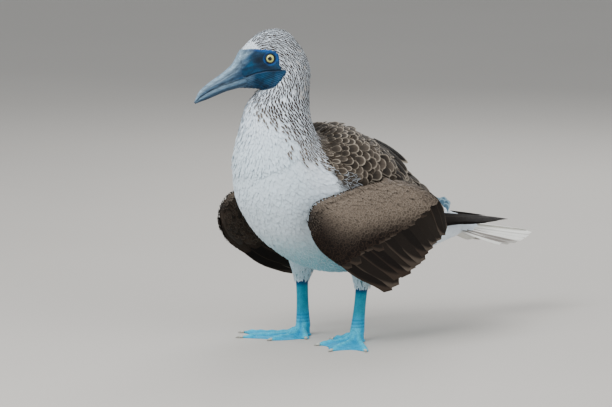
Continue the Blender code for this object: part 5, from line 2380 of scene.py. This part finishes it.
        base = blend(random.random(len(index)), PALETTE.mantle_brown, PALETTE.mantle_grey)
        edge = blend(random.random(len(index)) * 0.4, PALETTE.buff, PALETTE.covert_edge)
        unwrap = on_map(angle / math.pi + 0.5, (index - low) / (high - low), 0.04)
        rows = (place, up, flow, base, edge, size, np.ones(len(index)), unwrap)
        return Tract(*(values[None] for values in rows))

    @staticmethod
    def build_scapulars(bench: Bench) -> Object:
        """The long loose feathers at the rear of the mantle.

        Args:
            bench: makes the meshes.

        Returns:
            The piece.
        """
        stack = FeatherStack()
        random = np.random.default_rng(SEEDS["scapulars"])
        for side in Side:
            for start, middle, end, half, tip in (
                ((0.008, 0.075, 0.2835), (0.012, 0.103, 0.2640), (0.014, 0.126, 0.2440), 0.0090, 0.78),
                ((0.040, 0.052, 0.2760), (0.051, 0.080, 0.2530), (0.056, 0.102, 0.2280), 0.0100, 0.80),
                ((0.050, 0.042, 0.2680), (0.061, 0.066, 0.2480), (0.066, 0.086, 0.2260), 0.0100, 0.82),
                ((0.030, 0.060, 0.2820), (0.039, 0.088, 0.2610), (0.044, 0.111, 0.2380), 0.0095, 0.76),
                ((0.020, 0.066, 0.2860), (0.026, 0.096, 0.2685), (0.030, 0.1235, 0.2490), 0.0075, 0.50),
            ):
                spine = np.array([start, middle, end]) * (side.sign, 1.0, 1.0)
                up = unit(np.tile((side.sign * 0.75, 0.10 + 0.3 * (start[0] < 0.015), 0.65), (3, 1)))
                base = blend(0.5 * random.random(), PALETTE.wing_dark, PALETTE.mantle_brown)
                stack.lay(spine, up, half, (base, PALETTE.buff, random.random()), 0.6, tip, 0.16)
        return stack.build(bench, "scapulars")

    @staticmethod
    def build_tuft(bench: Bench) -> Object:
        """The white feathers that stand up behind the wings on the rump, painted bluish grey as they look in
        shade, with pale lit rims.

        Args:
            bench: makes the meshes.

        Returns:
            The piece.
        """
        stack = FeatherStack()
        random = np.random.default_rng(SEEDS["tuft"])
        for k in range(9):
            x = -0.020 + 0.005 * k
            root = np.array([x, 0.1955 + 0.003 * (k % 2), 0.1665 - abs(x) * 0.4])
            way = np.array([0.1 * random.normal(), 0.50 + 0.1 * random.normal(), 0.86])
            length = 0.0235 + 0.004 * random.random()
            share = np.linspace(0.0, 1.0, 5)[:, None]
            spine = root + unit(way) * length * share + np.array([0.0, 0.0040, 0.0]) * share**2
            up = np.tile(unit(np.array([x * 8, -0.80, 0.45])), (5, 1))
            # painted shade as the base colour and painted lit rims as the fringe
            look = (PALETTE.tuft_blue, PALETTE.tuft_pale, random.random())
            stack.lay(spine, up, 0.0085, look, 0.7, 0.78, 0.12)
        return stack.build(bench, "rump_tuft")

    def build(self, bench: Bench, wings: list[Wing], legs: list[Leg]) -> None:
        """Grows every piece of the coat.

        Args:
            bench: makes and seats the meshes.
            wings: both wings.
            legs: both legs.
        """
        made = self.finishes
        full, upper = (0.0, 2 * math.pi), (-0.47 * math.pi, 0.47 * math.pi)
        head = self.body_tract(14.6, 20.0, full, (0.0075, 0.0060, 0.0050, 0.0042), -0.0012, self.off_face)
        self.grow(bench, "coat_head", head, self.slim, made.down, "streaked_feather", 0.00165, 0.20, 0.06)
        dashes = self.body_tract(14.4, 19.2, full, (0.0070, 0.0066, 0.0062), 0.0, self.streak_share,
                                 self.streak_colour, PALETTE.white)
        self.grow(bench, "streaks_head", dashes, self.streak, made.streaked, "streaked_feather",
                  0.0027, 0.14, 0.03, patch=0.013)
        neck = self.body_tract(10.2, 14.7, full, (0.0125, 0.0105, 0.0085), -0.0022, swirl=0.28)
        self.grow(bench, "coat_neck", neck, self.slim, made.down, "streaked_feather", 0.0023, 0.22, 0.07)
        dashes = self.body_tract(8.6, 14.6, full, (0.0095, 0.0098, 0.0076), -0.0009, self.streak_share,
                                 self.streak_colour, PALETTE.white, 0.28)
        self.grow(bench, "streaks_neck", dashes, self.streak, made.streaked, "streaked_feather",
                  0.0034, 0.16, 0.03, patch=0.013)
        breast = self.body_tract(6.6, 10.3, (0.38 * math.pi, 1.62 * math.pi), (0.0150, 0.0140), -0.0040)
        self.grow(bench, "coat_breast", breast, self.soft, made.down, "white_feather", 0.0026, 0.18, 0.03)
        shoulder = self.body_tract(6.6, 10.6, upper, (0.0140, 0.0125), -0.0034,
                                   lambda i, a: smoothstep(0.0, 0.25, i - MARKINGS.mantle_front(a)))
        self.grow(bench, "coat_shoulder", shoulder, self.soft, made.down, "white_feather", 0.0028, 0.22, 0.07)
        belly = self.body_tract(0.3, 6.7, (0.42 * math.pi, 1.58 * math.pi), (0.0200, 0.0170, 0.0155), -0.0042)
        self.grow(bench, "coat_belly", belly, self.soft, made.down, "white_feather", 0.0034, 0.18, 0.03)
        back = self.body_tract(2.4, 9.5, upper, (0.0180, 0.0120), -0.0045,
                               lambda i, a: smoothstep(0.2, 0.0, i - MARKINGS.mantle_front(a)),
                               edge=PALETTE.mantle_grey)
        self.grow(bench, "coat_back", back, self.scale, made.coverts, "brown_feather", 0.0050, 0.2, 0.05)
        mottled = self.body_tract(6.6, 11.4, (-0.56 * math.pi, 0.56 * math.pi), (0.0100, 0.0085), -0.0016,
                                  self.mottle_share, PALETTE.mantle_grey, PALETTE.white, 0.2)
        self.grow(bench, "mottled_shoulder", mottled, self.streak, made.streaked, "streaked_feather",
                  0.0028, 0.30, 0.06, patch=0.013)
        rump = self.body_tract(0.2, 2.9, (-0.5 * math.pi, 0.5 * math.pi), (0.0260, 0.0220, 0.0180), -0.0028)
        self.grow(bench, "coat_rump", rump, self.soft, made.down, "white_feather", 0.0034, 0.22, 0.10)
        for front, vane in ((True, self.scale), (False, self.broad)):
            mantle = self.mantle_rows(2.9, -0.0040, SEEDS["mantle"], front)
            name, finish = ("mantle_front", made.small_mantle) if front else ("mantle", made.mantle)
            self.grow(bench, name, mantle, vane, finish, "brown_feather", 0.0, 0.20, 0.10, 0.14, 0.03)
        bench.seat(self.build_scapulars(bench), "brown_feather", made.mantle)
        bench.seat(self.build_tuft(bench), "white_feather", made.coverts)
        for wing in wings:
            self.grow(bench, f"coverts_{wing.side.label}", wing.covert_tract(), self.scale, made.coverts,
                      "brown_feather", 0.0027, 0.16, 0.05)
        for leg in legs:
            self.grow(bench, f"coat_thigh_{leg.side.label}", leg.thigh_tract(), self.soft, made.down,
                      "white_feather", 0.0024, 0.16, 0.04)
        for shape in (self.soft, self.slim, self.streak, self.scale, self.broad):
            bpy.data.objects.remove(shape)


@dataclass
class Studio:
    """Camera, floor and soft light."""

    azimuth: float = math.radians(50.0)
    elevation: float = math.radians(8.0)
    distance: float = 6.0
    aim_right: float = -0.03478
    aim_up: float = 0.1949
    frame_width: float = 0.887
    floor_radius: float = 14.0
    floor_corners: int = 96
    sensor: float = 36.0
    lit_height: float = 0.22
    lamps: tuple = (("key", 8.0, 2.0, 1.7, 1.6, 72.0), ("fill", 95.0, 1.2, 2.2, 2.0, 26.0),
                    ("back", 215.0, 1.7, 1.9, 1.4, 30.0))

    def build(self, bench: Bench) -> None:
        """Sets up the studio.

        Args:
            bench: makes the meshes.
        """
        right = np.array([math.cos(self.azimuth), math.sin(self.azimuth), 0.0])
        toward = np.array([math.sin(self.azimuth) * math.cos(self.elevation),
                           -math.cos(self.azimuth) * math.cos(self.elevation), math.sin(self.elevation)])
        up = np.cross(toward, right)
        up = up if up[2] > 0 else -up
        aim = right * self.aim_right + up * self.aim_up - bench.shift
        lens = bpy.data.cameras.new("camera")
        lens.sensor_width = self.sensor
        lens.lens = self.sensor * self.distance / self.frame_width
        lens.clip_end = 60.0
        camera = bpy.data.objects.new("camera", lens)
        camera.location = aim + toward * self.distance
        camera.rotation_mode = "QUATERNION"
        camera.rotation_quaternion = Vector(toward).to_track_quat("Z", "Y")
        bpy.context.scene.collection.objects.link(camera)
        bpy.context.scene.camera = camera
        self.build_floor(bench)
        for name, degrees, height, away, size, power in self.lamps:
            light = bpy.data.lights.new(name, "AREA")
            light.size = size
            light.energy = power
            lamp = bpy.data.objects.new(name, light)
            turn = math.radians(degrees)
            spot = Vector((math.sin(turn) * away, -math.cos(turn) * away, height))
            lamp.location = spot
            lamp.rotation_mode = "QUATERNION"
            lamp.rotation_quaternion = (spot - Vector((0, 0, self.lit_height))).to_track_quat("Z", "Y")
            bpy.context.scene.collection.objects.link(lamp)
        world = bpy.data.worlds.new("studio")
        world.use_nodes = True
        sky = world.node_tree.nodes["Background"]
        sky.inputs[0].default_value = (0.86, 0.89, 0.92, 1.0)
        sky.inputs[1].default_value = 0.60
        bpy.context.scene.world = world

    def build_floor(self, bench: Bench) -> None:
        """A wide pale floor.

        Args:
            bench: makes the meshes.
        """
        count = self.floor_corners
        turn = full_circle(count)
        points = np.stack([np.cos(turn), np.sin(turn), 0 * turn], -1) * self.floor_radius + bench.shift
        points = np.concatenate([points, bench.shift[None]])
        floor = bench.mesh("floor", points, [(j, (j + 1) % count, count) for j in range(count)])
        made, wires, shader = Finish("pale_floor", 0.7, 0.2).start()
        place = wires.node("ShaderNodeTexCoord").outputs["Object"]
        wires.feed(shader.inputs["Base Color"],
                   wires.mix(wires.noise(place, 1.4, 3.0), tone(186, 182, 176), tone(193, 189, 183)))
        floor.data.materials.append(made)


def main() -> None:
    """Builds the whole bird and its studio."""
    logging.basicConfig(level=logging.INFO, format="%(message)s")
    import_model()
    head = HeadDetail()
    low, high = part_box("eye_left")
    shift = head.eye_centre(Side.LEFT) - np.array((low + high) / 2)
    shift[2] = 0.0
    bench = Bench(shift)
    finishes = Finishes()
    wings = [Wing(side) for side in Side]
    legs = [
        Leg(Side.LEFT, (0.045, 0.013), (0.046, 0.022, 0.0800),
            ((57.0, 0.0880), (26.0, 0.0920), (-6.0, 0.0670), (-58.0, 0.0360))),
        Leg(Side.RIGHT, (-0.045, -0.013), (-0.045, -0.0155, 0.0840),
            ((-50.0, 0.0880), (-24.0, 0.0920), (6.0, 0.0670), (56.0, 0.0360))),
    ]
    skin = Skin().build(bench, wings, legs)
    bench.seat(skin, "white_feather", finishes.skin, "trunk", "neck", "head", "thigh_left", "thigh_right",
               "wing_left_arm", "wing_right_arm")
    bench.seat(head.build_face(bench), "bill_horn", finishes.face)
    for side in Side:
        bench.seat(head.build_lids(bench, side), "bill_horn", finishes.face)
        bench.seat(head.build_eye(bench, side), "eye", finishes.eye, f"eye_{side.label}")
    bench.seat(head.build_bill(bench, True), "bill_horn", finishes.horn, "upper_bill")
    bench.seat(head.build_bill(bench, False), "bill_horn", finishes.horn, "lower_bill")
    for wing in wings:
        label = wing.side.label
        for piece, kind in ((wing.build_secondaries, "secondaries"), (wing.build_primaries, "primaries")):
            bench.seat(piece(bench), "dark_feather", finishes.flight, f"wing_{label}_{kind}")
    bench.seat(Tail().build(bench), "tail_feather", finishes.tail, "tail")
    for leg in legs:
        label = leg.side.label
        bench.seat(leg.build(bench), "blue_skin", finishes.leg, f"shank_{label}", f"foot_{label}")
        for number, toe in enumerate(leg.claw_names):
            bench.seat(leg.build_claw(bench, number), "claw_horn", finishes.claw, f"claw_{label}_{toe}")
    Plumage(finishes).build(bench, wings, legs)
    Studio().build(bench)


if __name__ == "__main__":
    main()
